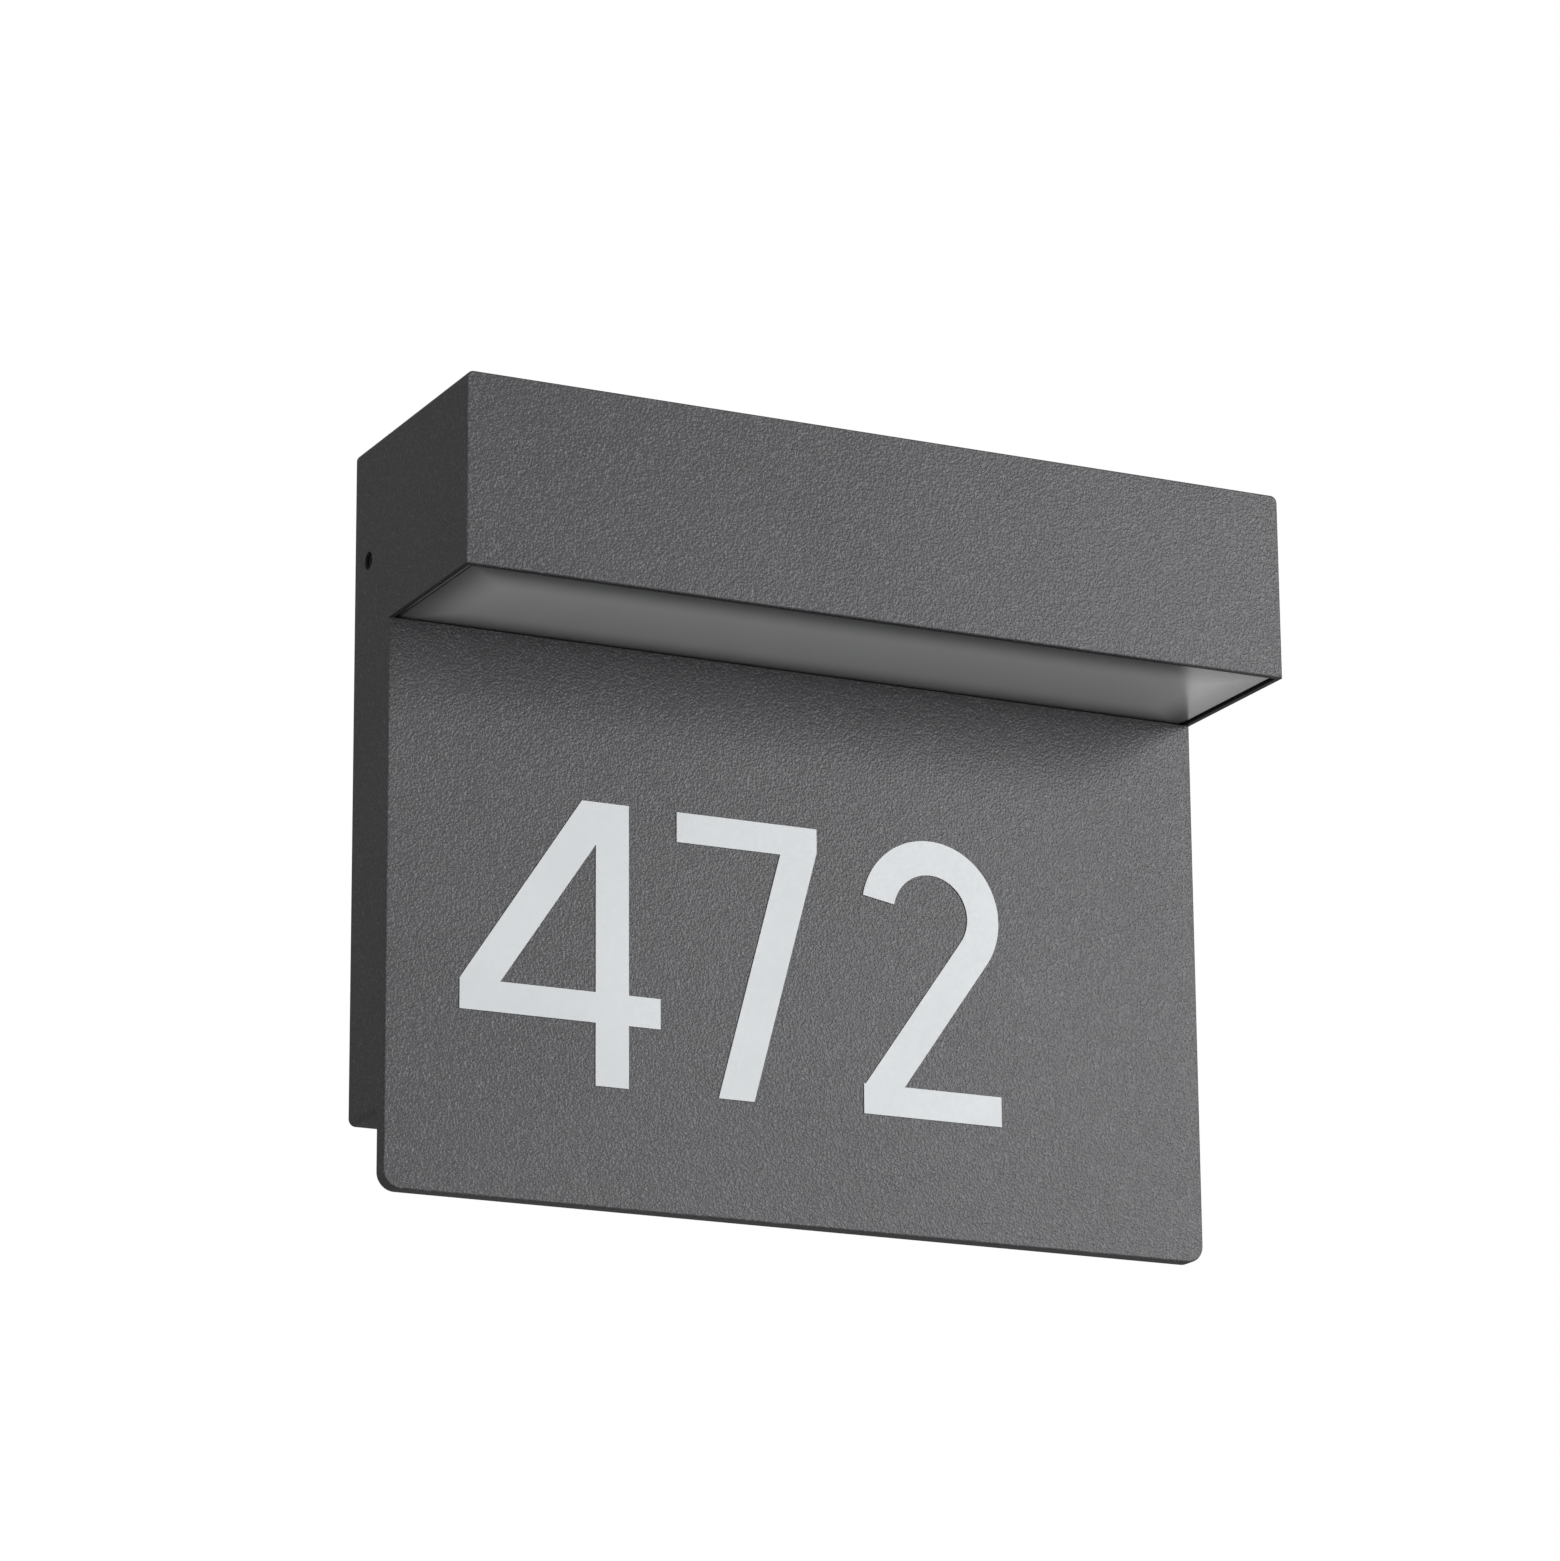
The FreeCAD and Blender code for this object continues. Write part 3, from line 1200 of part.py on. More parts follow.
def build_terminal_fixing_screws():
    """The screws that hold the terminal block on its bosses."""
    seats = [(column, terminal_face, terminal_middle) for column in terminal_screw_columns]
    length = dim["terminal_depth"] + dim["terminal_boss_height"] - dim["screw_end_room"]
    return screws_at("terminal_fixing_screws", small_screw(length), seats, TO_ROOM)


def build_earth_ring():
    """The ring terminal of the earth lead, with its barrel to the left."""
    gauge = dim["washer_gauge"]
    radius = dim["washer_diameter"] / 2
    barrel_radius = dim["ring_barrel_diameter"] / 2
    axis_depth = earth_boss_face + barrel_radius
    barrel_end = earth_column - radius - dim["ring_barrel_length"]
    whole = new_fusion("earth_ring_whole", [
        new_cylinder("earth_ring_disc", (earth_column, earth_boss_face, earth_level), TO_WALL,
                     dim["washer_diameter"], gauge),
        new_box("earth_ring_neck",
                (earth_column - radius - gauge, earth_boss_face, earth_level - barrel_radius),
                (earth_column - radius * 0.75, earth_boss_face + gauge, earth_level + barrel_radius)),
        new_cylinder("earth_ring_barrel", (barrel_end, axis_depth, earth_level), RIGHT,
                     dim["ring_barrel_diameter"], dim["ring_barrel_length"]),
    ])
    hole = new_cylinder("earth_ring_hole", (earth_column, earth_boss_face, earth_level), TO_WALL,
                        dim["earth_screw_diameter"] + dim["screw_play"] * 2, gauge)
    return new_cut("earth_ring", whole, [hole])


def build_earth_washer():
    """The toothed washer between the ring terminal and the earth screw."""
    gauge = dim["washer_gauge"]
    start = (earth_column, earth_boss_face + gauge, earth_level)
    disc = new_cylinder("earth_washer_disc", start, TO_WALL, dim["washer_diameter"], gauge)
    tools = [new_cylinder("earth_washer_hole", start, TO_WALL,
                          dim["earth_screw_diameter"] + dim["screw_play"] * 2, gauge)]
    teeth = 8
    for tooth in range(teeth):
        turn = 2 * math.pi * tooth / teeth
        reach = dim["washer_diameter"] / 2
        across = earth_column + reach * math.cos(turn)
        level = earth_level + reach * math.sin(turn)
        tools.append(new_cylinder(f"earth_washer_notch_{tooth + 1}", (across, start[1], level), TO_WALL,
                                  gauge * 2, gauge))
    return new_cut("earth_washer", disc, tools)


def build_earth_screw():
    """The screw of the earth terminal."""
    length = earth_hole_depth - dim["screw_end_room"] + dim["washer_gauge"] * 2
    screw = pan_screw(
        dim["earth_head_diameter"], dim["earth_head_height"], dim["earth_screw_diameter"], length
    )
    return screws_at("earth_screw", screw, [(earth_column, earth_seat, earth_level)], TO_ROOM)


# ---------------------------------------------------------------------------------------------
# Leads
# ---------------------------------------------------------------------------------------------

def build_lead(label, diameter, points):
    """An insulated lead along straight runs joined by arcs as large as the runs allow."""
    route = [vector(*point) for point in points]
    runs = [(end - start).Length for start, end in zip(route, route[1:])]
    edges = []
    radii = []
    start = route[0]
    for before, corner, after, run_in, run_out in zip(route, route[1:], route[2:], runs, runs[1:]):
        arrive = (corner - before).normalize()
        leave = (after - corner).normalize()
        turn = arrive.getAngle(leave)
        setback = 0.45 * min(run_in, run_out)
        radius = setback / math.tan(turn / 2)
        radii.append(radius)
        arc_start = corner - arrive * setback
        arc_end = corner + leave * setback
        inward = (leave - arrive).normalize()
        centre = corner + inward * (radius / math.cos(turn / 2))
        arc_middle = centre - inward * radius
        edges.append(Part.LineSegment(start, arc_start).toShape())
        edges.append(Part.Arc(arc_start, arc_middle, arc_end).toShape())
        start = arc_end
    edges.append(Part.LineSegment(start, route[-1]).toShape())
    path = Part.Wire(edges)
    section = Part.Wire(Part.makeCircle(diameter.number / 2, route[0], route[1] - route[0]))
    tube = path.makePipeShell([section], True, False)
    expected = math.pi * diameter.number ** 2 / 4 * path.Length
    share = tube.Volume / expected
    radii_text = ", ".join(f"{radius:.1f}" for radius in radii)
    print(f"{label}: length {path.Length:.1f}, radii {radii_text}, volume {share:.4f} of expected")
    return new_shape(label, tube)


def build_mains_leads():
    """Live and neutral, from the terminal block down and into the driver's left end."""
    live, neutral = pole_columns[:2]
    plane = terminal_axis
    diameter = dim["mains_lead_diameter"]
    build_lead("mains_lead_live", diameter, [
        (live, plane, clamp_end), (live, plane, clamp_end - 14), (live + 2.5, plane, clamp_end - 34),
        (driver_left - 18, plane, driver_middle + 1.8), (driver_left, plane, driver_middle + 1.8),
    ])
    build_lead("mains_lead_neutral", diameter, [
        (neutral, plane, clamp_end), (neutral, plane, clamp_end - 11.5),
        (neutral + 1.8, plane, clamp_end - 29.5), (driver_left - 14.5, plane, driver_middle + 7.8),
        (driver_left, plane, driver_middle + 7.8),
    ])


def build_earth_lead():
    """The earth lead, from the third pole to the barrel of the ring terminal."""
    column = pole_columns[2]
    plane = terminal_axis
    barrel_depth = earth_boss_face + dim["ring_barrel_diameter"] / 2
    barrel_end = earth_column - dim["washer_diameter"] / 2 - dim["ring_barrel_length"]
    build_lead("earth_lead", dim["mains_lead_diameter"], [
        (column, plane, clamp_end), (column, plane, clamp_end - 10),
        (column + 7, plane - 1, earth_level + 4.9), (barrel_end - 8.8, barrel_depth, earth_level),
        (barrel_end, barrel_depth, earth_level),
    ])


def build_lamp_leads():
    """The pair of lamp leads: out of the driver, up, through the web and the tray, to the board."""
    middle = connector_column
    half = dim["lamp_lead_spacing"] / 2
    plane = -dim["lead_depth"]
    diameter = dim["lamp_lead_diameter"]
    turn_depth = tray_back - 1.5
    under_connector = lead_hole_level - 1.5
    inner = middle - half
    outer = middle + half
    build_lead("led_lead_positive", diameter, [
        (driver_right, plane, driver_middle + 9), (driver_right + 13, plane, driver_middle + 9),
        (inner - 2, plane, driver_middle + 18), (inner + 0.5, plane, driver_middle + 40),
        (inner - 0.5, plane, driver_middle + 70), (inner, plane, lead_hole_level - 17.5),
        (inner, plane, lead_hole_level), (inner, turn_depth, lead_hole_level),
        (inner, connector_middle, under_connector), (inner, connector_middle, connector_low),
    ])
    build_lead("led_lead_negative", diameter, [
        (driver_right, plane, driver_middle + 4), (driver_right + 16, plane, driver_middle + 4),
        (outer - 1.5, plane, driver_middle + 15.5), (outer + 1.5, plane, driver_middle + 40),
        (outer + 0.3, plane, driver_middle + 70), (outer, plane, lead_hole_level - 17.5),
        (outer, plane, lead_hole_level), (outer, turn_depth, lead_hole_level),
        (outer, connector_middle, under_connector), (outer, connector_middle, connector_low),
    ])


# ---------------------------------------------------------------------------------------------
# Build, check and write
# ---------------------------------------------------------------------------------------------

build_wall_bracket()
build_cable_grommet()
build_lamp_housing()
build_number_plate()
build_plate_screws()
build_wall_gasket()
build_four()
build_seven()
build_two()
build_diffuser()
build_diffuser_seal()
build_led_tray()
build_tray_screws()
build_led_board()
build_led_chips()
build_led_connector()
build_board_screws()
build_lead_grommet()
build_driver_case()
build_driver_lid()
build_driver_board()
build_driver_components()
build_driver_screws()
build_terminal_block()
build_terminal_clamps()
build_terminal_clamp_screws()
build_terminal_fixing_screws()
build_earth_ring()
build_earth_washer()
build_earth_screw()
build_mains_leads()
build_earth_lead()
build_lamp_leads()
grub_screw("grub_screw_left", -RIGHT)
grub_screw("grub_screw_right", RIGHT)

NODES = (
    "wall_bracket", "cable_grommet", "lamp_housing", "number_plate", "plate_screws", "wall_gasket",
    "numeral_left", "numeral_middle", "numeral_right", "diffuser", "diffuser_seal", "led_tray",
    "tray_screws", "led_board", "led_chips", "led_connector", "board_screws", "lead_grommet",
    "driver_case", "driver_lid", "driver_board", "driver_components", "driver_screws",
    "terminal_block", "terminal_clamps", "terminal_clamp_screws", "terminal_fixing_screws",
    "earth_ring", "earth_washer", "earth_screw", "mains_lead_live", "mains_lead_neutral", "earth_lead",
    "led_lead_positive", "led_lead_negative", "grub_screw_left", "grub_screw_right",
)


def checked_pieces():
    """Every sub-part by its label, once the whole document has been found sound."""
    doc.recompute()
    for item in doc.Objects:
        if {"Invalid", "Error"} & set(item.State):
            raise RuntimeError(f"{item.Name} is {item.State}")
    pieces = {}
    for node in NODES:
        piece = doc.getObjectsByLabel(node)[0]
        if piece.Shape.isNull() or not piece.Shape.isValid():
            raise RuntimeError(f"{node} has no valid shape")
        pieces[node] = piece
    return pieces


def write_parts(pieces):
    """Write each sub-part to its own file."""
    os.makedirs("parts", exist_ok=True)
    for node, piece in pieces.items():
        piece.Shape.exportStep(f"parts/{node}.step")
        solids = len(piece.Shape.Solids)
        print(f"{node}: {solids} solid(s), {piece.Shape.Volume:.0f} cubic millimetres")


write_parts(checked_pieces())
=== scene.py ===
"""The looks of a wall-mounted, illuminated house number sign.

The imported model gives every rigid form. This script gives each piece its finish, models the pieces
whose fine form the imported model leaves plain, and sets up a plain studio with the camera.
"""
import logging
import math
from dataclasses import dataclass
from enum import Enum
from typing import Any

import bmesh
import bpy
from mathutils import Matrix, Vector


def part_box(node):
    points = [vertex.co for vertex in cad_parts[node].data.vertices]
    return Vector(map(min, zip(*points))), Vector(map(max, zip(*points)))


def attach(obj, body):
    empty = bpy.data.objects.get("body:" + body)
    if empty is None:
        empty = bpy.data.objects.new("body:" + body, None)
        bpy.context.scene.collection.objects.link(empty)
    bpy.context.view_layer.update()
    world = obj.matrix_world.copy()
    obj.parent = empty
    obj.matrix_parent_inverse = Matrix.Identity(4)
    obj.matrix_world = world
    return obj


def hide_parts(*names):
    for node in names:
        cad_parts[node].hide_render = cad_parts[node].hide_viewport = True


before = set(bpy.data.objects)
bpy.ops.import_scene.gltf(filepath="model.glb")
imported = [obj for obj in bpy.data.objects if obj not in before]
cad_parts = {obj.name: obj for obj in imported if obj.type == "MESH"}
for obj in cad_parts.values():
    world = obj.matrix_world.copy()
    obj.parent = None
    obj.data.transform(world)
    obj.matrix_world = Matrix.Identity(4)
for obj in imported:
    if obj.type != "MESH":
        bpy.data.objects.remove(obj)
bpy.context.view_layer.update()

LOG = logging.getLogger("house_number_sign")
MM = 0.001
NOISE_SPAN = (0.3, 0.7)  # where nearly all of a noise texture's values lie
WHITE = (1.0, 1.0, 1.0, 1.0)

Point = tuple[float, float, float]
Span = tuple[float, float]
Tree = bpy.types.NodeTree
Socket = bpy.types.NodeSocket


# ---------------------------------------------------------------------------------------------
# Named choices
# ---------------------------------------------------------------------------------------------

class Body(Enum):
    """The moving bodies of the sign."""

    WALL_SIDE = "wall_side"
    LAMP = "lamp"
    GRUB_LEFT = "grub_left"
    GRUB_RIGHT = "grub_right"


class Side(Enum):
    """The side of the sign that a piece sits on, as the sign of its X."""

    LEFT = -1
    RIGHT = 1


# ---------------------------------------------------------------------------------------------
# Node and colour helpers
# ---------------------------------------------------------------------------------------------

def linear(hex_colour: str) -> tuple[float, float, float, float]:
    """Turns an sRGB hex colour to the linear values that shaders take.

    Args:
        hex_colour: The colour as six hex digits.

    Returns:
        Red, green, blue and alpha, linear, from 0 to 1.
    """
    parts = [int(hex_colour[i:i + 2], 16) / 255 for i in (0, 2, 4)]
    red, green, blue = [p / 12.92 if p <= 0.04045 else ((p + 0.055) / 1.055) ** 2.4 for p in parts]
    return red, green, blue, 1.0


def per_metre(size_mm: float) -> float:
    """Turns a grain size to a texture scale.

    Args:
        size_mm: The size of one repeat, in millimetres.

    Returns:
        The scale for Object coordinates in metres.
    """
    return 1.0 / (size_mm * MM)


def around(middle: float, sway: float) -> Span:
    """Returns the span that reaches a little to both sides of a value.

    Args:
        middle: The value.
        sway: How far the span reaches to each side.

    Returns:
        The lowest and the highest value.
    """
    return middle - sway, middle + sway


def add_node(
    tree: Tree, kind: str, inputs: dict[str | int, Any] | None = None, **settings: Any
) -> bpy.types.Node:
    """Adds a node with its settings, and fills or links its inputs.

    Args:
        tree: The node tree that gets the node.
        kind: The node's Blender type.
        inputs: Values or output sockets by the input's name or index.
        **settings: Properties of the node.

    Returns:
        The new node.
    """
    made = tree.nodes.new(kind)
    for key, value in settings.items():
        setattr(made, key, value)
    for key, value in (inputs or {}).items():
        if isinstance(value, Socket):
            tree.links.new(value, made.inputs[key])
        else:
            made.inputs[key].default_value = value
    return made


def object_place(tree: Tree) -> Socket:
    """Returns the surface's place in the piece's own frame, in metres.

    Args:
        tree: The material's node tree.

    Returns:
        The Object coordinates.
    """
    return add_node(tree, "ShaderNodeTexCoord").outputs["Object"]


def noise(
    tree: Tree, place: Socket, size_mm: float, detail: float = 2.0, roughness: float = 0.5
) -> Socket:
    """Adds a noise of a real size.

    Args:
        tree: The material's node tree.
        place: The coordinates.
        size_mm: The size of its lumps, in millimetres.
        detail: How many finer layers it has.
        roughness: How strong those layers are.

    Returns:
        The noise, about 0.3 to 0.7.
    """
    return add_node(tree, "ShaderNodeTexNoise", {
        "Vector": place, "Scale": per_metre(size_mm), "Detail": detail, "Roughness": roughness,
    }).outputs["Fac"]


def compute(tree: Tree, operation: str, *values: Socket | float) -> Socket:
    """Adds a maths node.

    Args:
        tree: The node tree.
        operation: Blender's name of the operation.
        *values: Its inputs, in order.

    Returns:
        The result.
    """
    return add_node(tree, "ShaderNodeMath", dict(enumerate(values)), operation=operation).outputs[0]


def spread(
    tree: Tree, value: Socket, source: Span, target: Span = (0.0, 1.0), soft: bool = False
) -> Socket:
    """Maps a value from one span to another, and clamps it there.

    Args:
        tree: The node tree.
        value: The value.
        source: The span that it is taken from.
        target: The span that it is taken to.
        soft: Whether it eases in and out.

    Returns:
        The mapped value.
    """
    return add_node(tree, "ShaderNodeMapRange", {
        "Value": value, "From Min": source[0], "From Max": source[1],
        "To Min": target[0], "To Max": target[1],
    }, interpolation_type="SMOOTHSTEP" if soft else "LINEAR").outputs[0]


def mix_colours(tree: Tree, share: Socket, first: Any, second: Any) -> Socket:
    """Mixes two colours.

    Args:
        tree: The node tree.
        share: The second colour's share.
        first: A colour or a colour socket.
        second: A colour or a colour socket.

    Returns:
        The mixed colour.
    """
    return add_node(tree, "ShaderNodeMix", {0: share, 6: first, 7: second},
                    data_type="RGBA").outputs[2]


def relief(tree: Tree, height: Socket, depth_mm: float, strength: float) -> Socket:
    """Turns a height to a bumped normal.

    Args:
        tree: The node tree.
        height: The height, from 0 to 1.
        depth_mm: How deep it is, in millimetres.
        strength: How strongly it shows.

    Returns:
        The normal.
    """
    return add_node(tree, "ShaderNodeBump", {
        "Strength": strength, "Distance": depth_mm * MM, "Height": height,
    }).outputs[0]


def surface(
    tree: Tree, colour: Socket, rough: Socket, normal: Socket, **constants: float
) -> bpy.types.Node:
    """Adds the Principled shader.

    Args:
        tree: The node tree.
        colour: The base colour.
        rough: The roughness.
        normal: The bumped normal.
        **constants: Values of further sockets, by name with _ for each space.

    Returns:
        The shader node.
    """
    further = {key.replace("_", " "): value for key, value in constants.items()}
    return add_node(tree, "ShaderNodeBsdfPrincipled", {
        "Base Color": colour, "Roughness": rough, "Normal": normal, **further,
    })


# ---------------------------------------------------------------------------------------------
# Finishes
# ---------------------------------------------------------------------------------------------

@dataclass(frozen=True)
class Finish:
    """A surface finish, which makes its material once."""

    name: str

    def material(self) -> bpy.types.Material:
        """Returns the finish's material, made on first use."""
        made = bpy.data.materials.get(self.name)
        if made is None:
            made = bpy.data.materials.new(self.name)
            made.use_nodes = True
            made.node_tree.nodes.clear()
            shader = self.shade(made.node_tree)
            add_node(made.node_tree, "ShaderNodeOutputMaterial", {"Surface": shader.outputs[0]})
        return made

    def shade(self, tree: Tree) -> bpy.types.Node:
        """Builds the shader.

        Args:
            tree: The material's node tree.

        Returns:
            The node whose first output is the surface.
        """
        raise NotImplementedError

    def dress(self, *pieces: bpy.types.Object) -> None:
        """Gives the finish to every material slot of each piece.

        Args:
            *pieces: The objects to dress.
        """
        for piece in pieces:
            if not piece.data.materials:
                piece.data.materials.append(self.material())
            for place in range(len(piece.data.materials)):
                piece.data.materials[place] = self.material()


@dataclass(frozen=True)
class PowderCoat(Finish):
    """Fine-structure polyester powder baked on aluminium: a matt skin of small raised grains."""

    dark: str = "3e3e40"
    light: str = "4c4c4e"
    speck: str = "5c5c5f"
    grain_mm: float = 0.65
    clump_mm: float = 3.2
    drift_mm: float = 60.0
    relief_mm: float = 0.18
    roughness: float = 0.55
    roughness_sway: float = 0.06
    gloss: float = 0.09
    gloss_spread: float = 0.30
    gloss_index: float = 2.2
    slow_share: float = 0.35
    ground_span: Span = (0.45, 0.90)
    speck_span: Span = (0.78, 0.92)

    def shade(self, tree: Tree) -> bpy.types.Node:
        """Builds the coat: grains as relief and tone, with a thin sheen over them.

        Args:
            tree: The material's node tree.

        Returns:
            The Principled node.
        """
        place = object_place(tree)
        grain = noise(tree, place, self.grain_mm, detail=1.0)
        clump = noise(tree, place, self.clump_mm)
        drift = noise(tree, place, self.drift_mm)
        tone = compute(tree, "MULTIPLY_ADD", drift, self.slow_share, grain)
        ground = mix_colours(tree, spread(tree, tone, self.ground_span),
                             linear(self.dark), linear(self.light))
        crowd = compute(tree, "MULTIPLY_ADD", clump, self.slow_share, grain)
        colour = mix_colours(tree, spread(tree, crowd, self.speck_span, soft=True),
                             ground, linear(self.speck))
        rough = spread(tree, clump, NOISE_SPAN, around(self.roughness, self.roughness_sway))
        normal = relief(tree, grain, self.relief_mm, 1.0)
        shader = surface(tree, colour, rough, normal, Specular_IOR_Level=0.0,
                         Coat_Weight=self.gloss, Coat_Roughness=self.gloss_spread,
                         Coat_IOR=self.gloss_index)
        tree.links.new(normal, shader.inputs["Coat Normal"])
        return shader


@dataclass(frozen=True)
class Moulding(Finish):
    """A moulded or cast polymer: a little orange peel, slow tone drift and a satin skin."""

    colour: str = "e6e6e2"
    shade_colour: str = "d9d9d4"
    grain_mm: float = 0.7
    drift_mm: float = 18.0
    relief_mm: float = 0.02
    roughness: float = 0.42
    specular: float = 0.5
    roughness_sway: float = 0.05

    def shade(self, tree: Tree) -> bpy.types.Node:
        """Builds the polymer skin.

        Args:
            tree: The material's node tree.

        Returns:
            The Principled node.
        """
        place = object_place(tree)
        grain = noise(tree, place, self.grain_mm, detail=3.0)
        drift = noise(tree, place, self.drift_mm, detail=3.0)
        colour = mix_colours(tree, spread(tree, drift, NOISE_SPAN),
                             linear(self.shade_colour), linear(self.colour))
        rough = spread(tree, grain, NOISE_SPAN, around(self.roughness, self.roughness_sway))
        return surface(tree, colour, rough, relief(tree, grain, self.relief_mm, 0.6),
                       Specular_IOR_Level=self.specular, IOR=1.5)


@dataclass(frozen=True)
class SatinSheet(Finish):
    """Milky satin acrylic, with painted shade: its colour darkens towards its edges, softer the
    farther in.
    """

    low_mm: Point
    high_mm: Point
    colour: str = "dcdddc"
    # colour of the painted shade and of the painted shadow line at the edges
    painted_shade_colour: str = "2c2d2e"
    painted_shade_share: float = 0.2
    # width of the painted shadow line along the cut edge
    line_mm: float = 1.3
    painted_shade_fade_mm: float = 16.0
    ripple_mm: float = 40.0
    relief_mm: float = 0.004
    roughness: float = 0.24
    roughness_sway: float = 0.04

    def inward(self, tree: Tree, place: Socket) -> Socket:
        """Measures how far a spot lies from the sheet's nearest edge.

        Args:
            tree: The material's node tree.
            place: The spot.

        Returns:
            The distance, in metres.
        """
        parts = add_node(tree, "ShaderNodeSeparateXYZ", {0: place})
        distances = []
        for axis in (0, 1):
            low, high = self.low_mm[axis] * MM, self.high_mm[axis] * MM
            for near, far in ((low, high), (high, low)):
                distances.append(spread(tree, parts.outputs[axis], (near, far), (0.0, high - low)))
        nearest = distances[0]
        for distance in distances[1:]:
            nearest = compute(tree, "MINIMUM", nearest, distance)
        return nearest

    def shade(self, tree: Tree) -> bpy.types.Node:
        """Builds the sheet: a painted shadow line at its cut edge, soft painted shade towards its
        edges and a milky middle.

        Args:
            tree: The material's node tree.

        Returns:
            The Principled node.
        """
        place = object_place(tree)
        ripple = noise(tree, place, self.ripple_mm, detail=3.0)
        nearest = self.inward(tree, place)
        # Painted shade: the colour darkens over the last millimetres towards every edge, where the
        # plate and the hood's walls shade the panel.
        painted_shade_field = spread(tree, nearest, (0.0, self.painted_shade_fade_mm * MM), (self.painted_shade_share, 1.0), soft=True)
        # Painted shadow line: a dark line along the cut edge, where the gap to the hood's walls lies
        # in shade.
        line = spread(tree, nearest, (self.line_mm / 2 * MM, self.line_mm * MM))
        colour = mix_colours(tree, compute(tree, "MULTIPLY", painted_shade_field, line),
                             linear(self.painted_shade_colour), linear(self.colour))
        rough = spread(tree, ripple, NOISE_SPAN, around(self.roughness, self.roughness_sway))
        return surface(tree, colour, rough, relief(tree, ripple, self.relief_mm, 0.6), IOR=1.49)


@dataclass(frozen=True)
class Metal(Finish):
    """A bare or plated metal: fine drawing or rolling lines, cloudy tone and duller patches."""

    colour: str = "c9ccd0"
    dull_colour: str = "a9adb2"
    line_mm: float = 0.25
    stretch: Point = (1.0, 1.0, 1.0)
    cloud_mm: float = 9.0
    relief_mm: float = 0.01
    roughness: float = 0.34
    dull_more: float = 0.10
    bright_less: float = 0.05
    cloud_span: Span = (0.35, 0.65)

    def shade(self, tree: Tree) -> bpy.types.Node:
        """Builds the metal.

        Args:
            tree: The material's node tree.

        Returns:
            The Principled node.
        """
        place = object_place(tree)
        turned = add_node(tree, "ShaderNodeMapping", {"Vector": place, "Scale": self.stretch})
        line = noise(tree, turned.outputs[0], self.line_mm)
        cloud = noise(tree, place, self.cloud_mm, detail=4.0, roughness=0.6)
        colour = mix_colours(tree, spread(tree, cloud, self.cloud_span),
                             linear(self.dull_colour), linear(self.colour))
        rough = spread(tree, cloud, NOISE_SPAN,
                       (self.roughness + self.dull_more, self.roughness - self.bright_less))
        return surface(tree, colour, rough, relief(tree, line, self.relief_mm, 0.7), Metallic=1.0)


@dataclass(frozen=True)
class CellFoam(Finish):
    """Closed-cell foam: a matt skin pitted by cut cells."""

    colour: str = "2b2c2e"
    pit_colour: str = "161718"
    cell_mm: float = 0.6
    relief_mm: float = 0.25
    roughness: float = 0.9
    wall_less: float = 0.1
    pit_span: Span = (0.05, 0.45)

    def shade(self, tree: Tree) -> bpy.types.Node:
        """Builds the foam.

        Args:
            tree: The material's node tree.

        Returns:
            The Principled node.
        """
        cell = add_node(tree, "ShaderNodeTexVoronoi", {
            "Vector": object_place(tree), "Scale": per_metre(self.cell_mm), "Randomness": 1.0,
        }).outputs["Distance"]
        colour = mix_colours(tree, spread(tree, cell, self.pit_span),
                             linear(self.pit_colour), linear(self.colour))
        rough = spread(tree, cell, (0.0, 1.0), (self.roughness, self.roughness - self.wall_less))
        return surface(tree, colour, rough, relief(tree, cell, self.relief_mm, 0.8),
                       Specular_IOR_Level=0.3)


@dataclass(frozen=True)
class StripedInsulation(Finish):
    """Extruded PVC insulation in one or two colours, striped along the lead."""

    colour: str = "6b3f22"
    stripe: str = "6b3f22"
    stripes: float = 0.0
    roughness: float = 0.38
    scuff_mm: float = 1.5
    scuff_less: float = 0.06
    scuff_more: float = 0.10
    stripe_edge: float = 0.2
    relief_mm: float = 0.02

    def shade(self, tree: Tree) -> bpy.types.Node:
        """Builds the insulation; the stripe goes round with the lead's own UV map.

        Args:
            tree: The material's node tree.

        Returns:
            The Principled node.
        """
        scuff = noise(tree, object_place(tree), self.scuff_mm, detail=3.0)
        unwrapped = add_node(tree, "ShaderNodeTexCoord").outputs["UV"]
        parts = add_node(tree, "ShaderNodeSeparateXYZ", {0: unwrapped})
        wave = compute(tree, "MULTIPLY", parts.outputs[1], self.stripes * math.tau)
        share = compute(tree, "GREATER_THAN", compute(tree, "SINE", wave), self.stripe_edge)
        colour = mix_colours(tree, share, linear(self.colour), linear(self.stripe))
        rough = spread(tree, scuff, NOISE_SPAN,
                       (self.roughness - self.scuff_less, self.roughness + self.scuff_more))
        return surface(tree, colour, rough, relief(tree, scuff, self.relief_mm, 0.4))


# Polyester powder, fine structure, anthracite: sprayed and baked, it looks matt and faintly grainy.
ANTHRACITE_CASTING = PowderCoat("powder_coated_aluminium_casting")
ANTHRACITE_PLATE = PowderCoat("powder_coated_aluminium_plate")
# Cast vinyl film cut on a plotter: flat, matt, with hardly any texture.
GREY_FILM = Moulding("cast_vinyl_film", "c3c6c8", "bec1c3", 1.2, 30.0, 0.006, 0.48, 0.35)
# Satin acrylic sheet: milky, with a smooth sheen that mirrors pale surroundings at low angles; the
# shade towards its edges is painted into its colour.
SATIN_ACRYLIC = SatinSheet("satin_acrylic_sheet", (-122.7, -74.8, -19.9), (122.7, -20.8, -16.9))
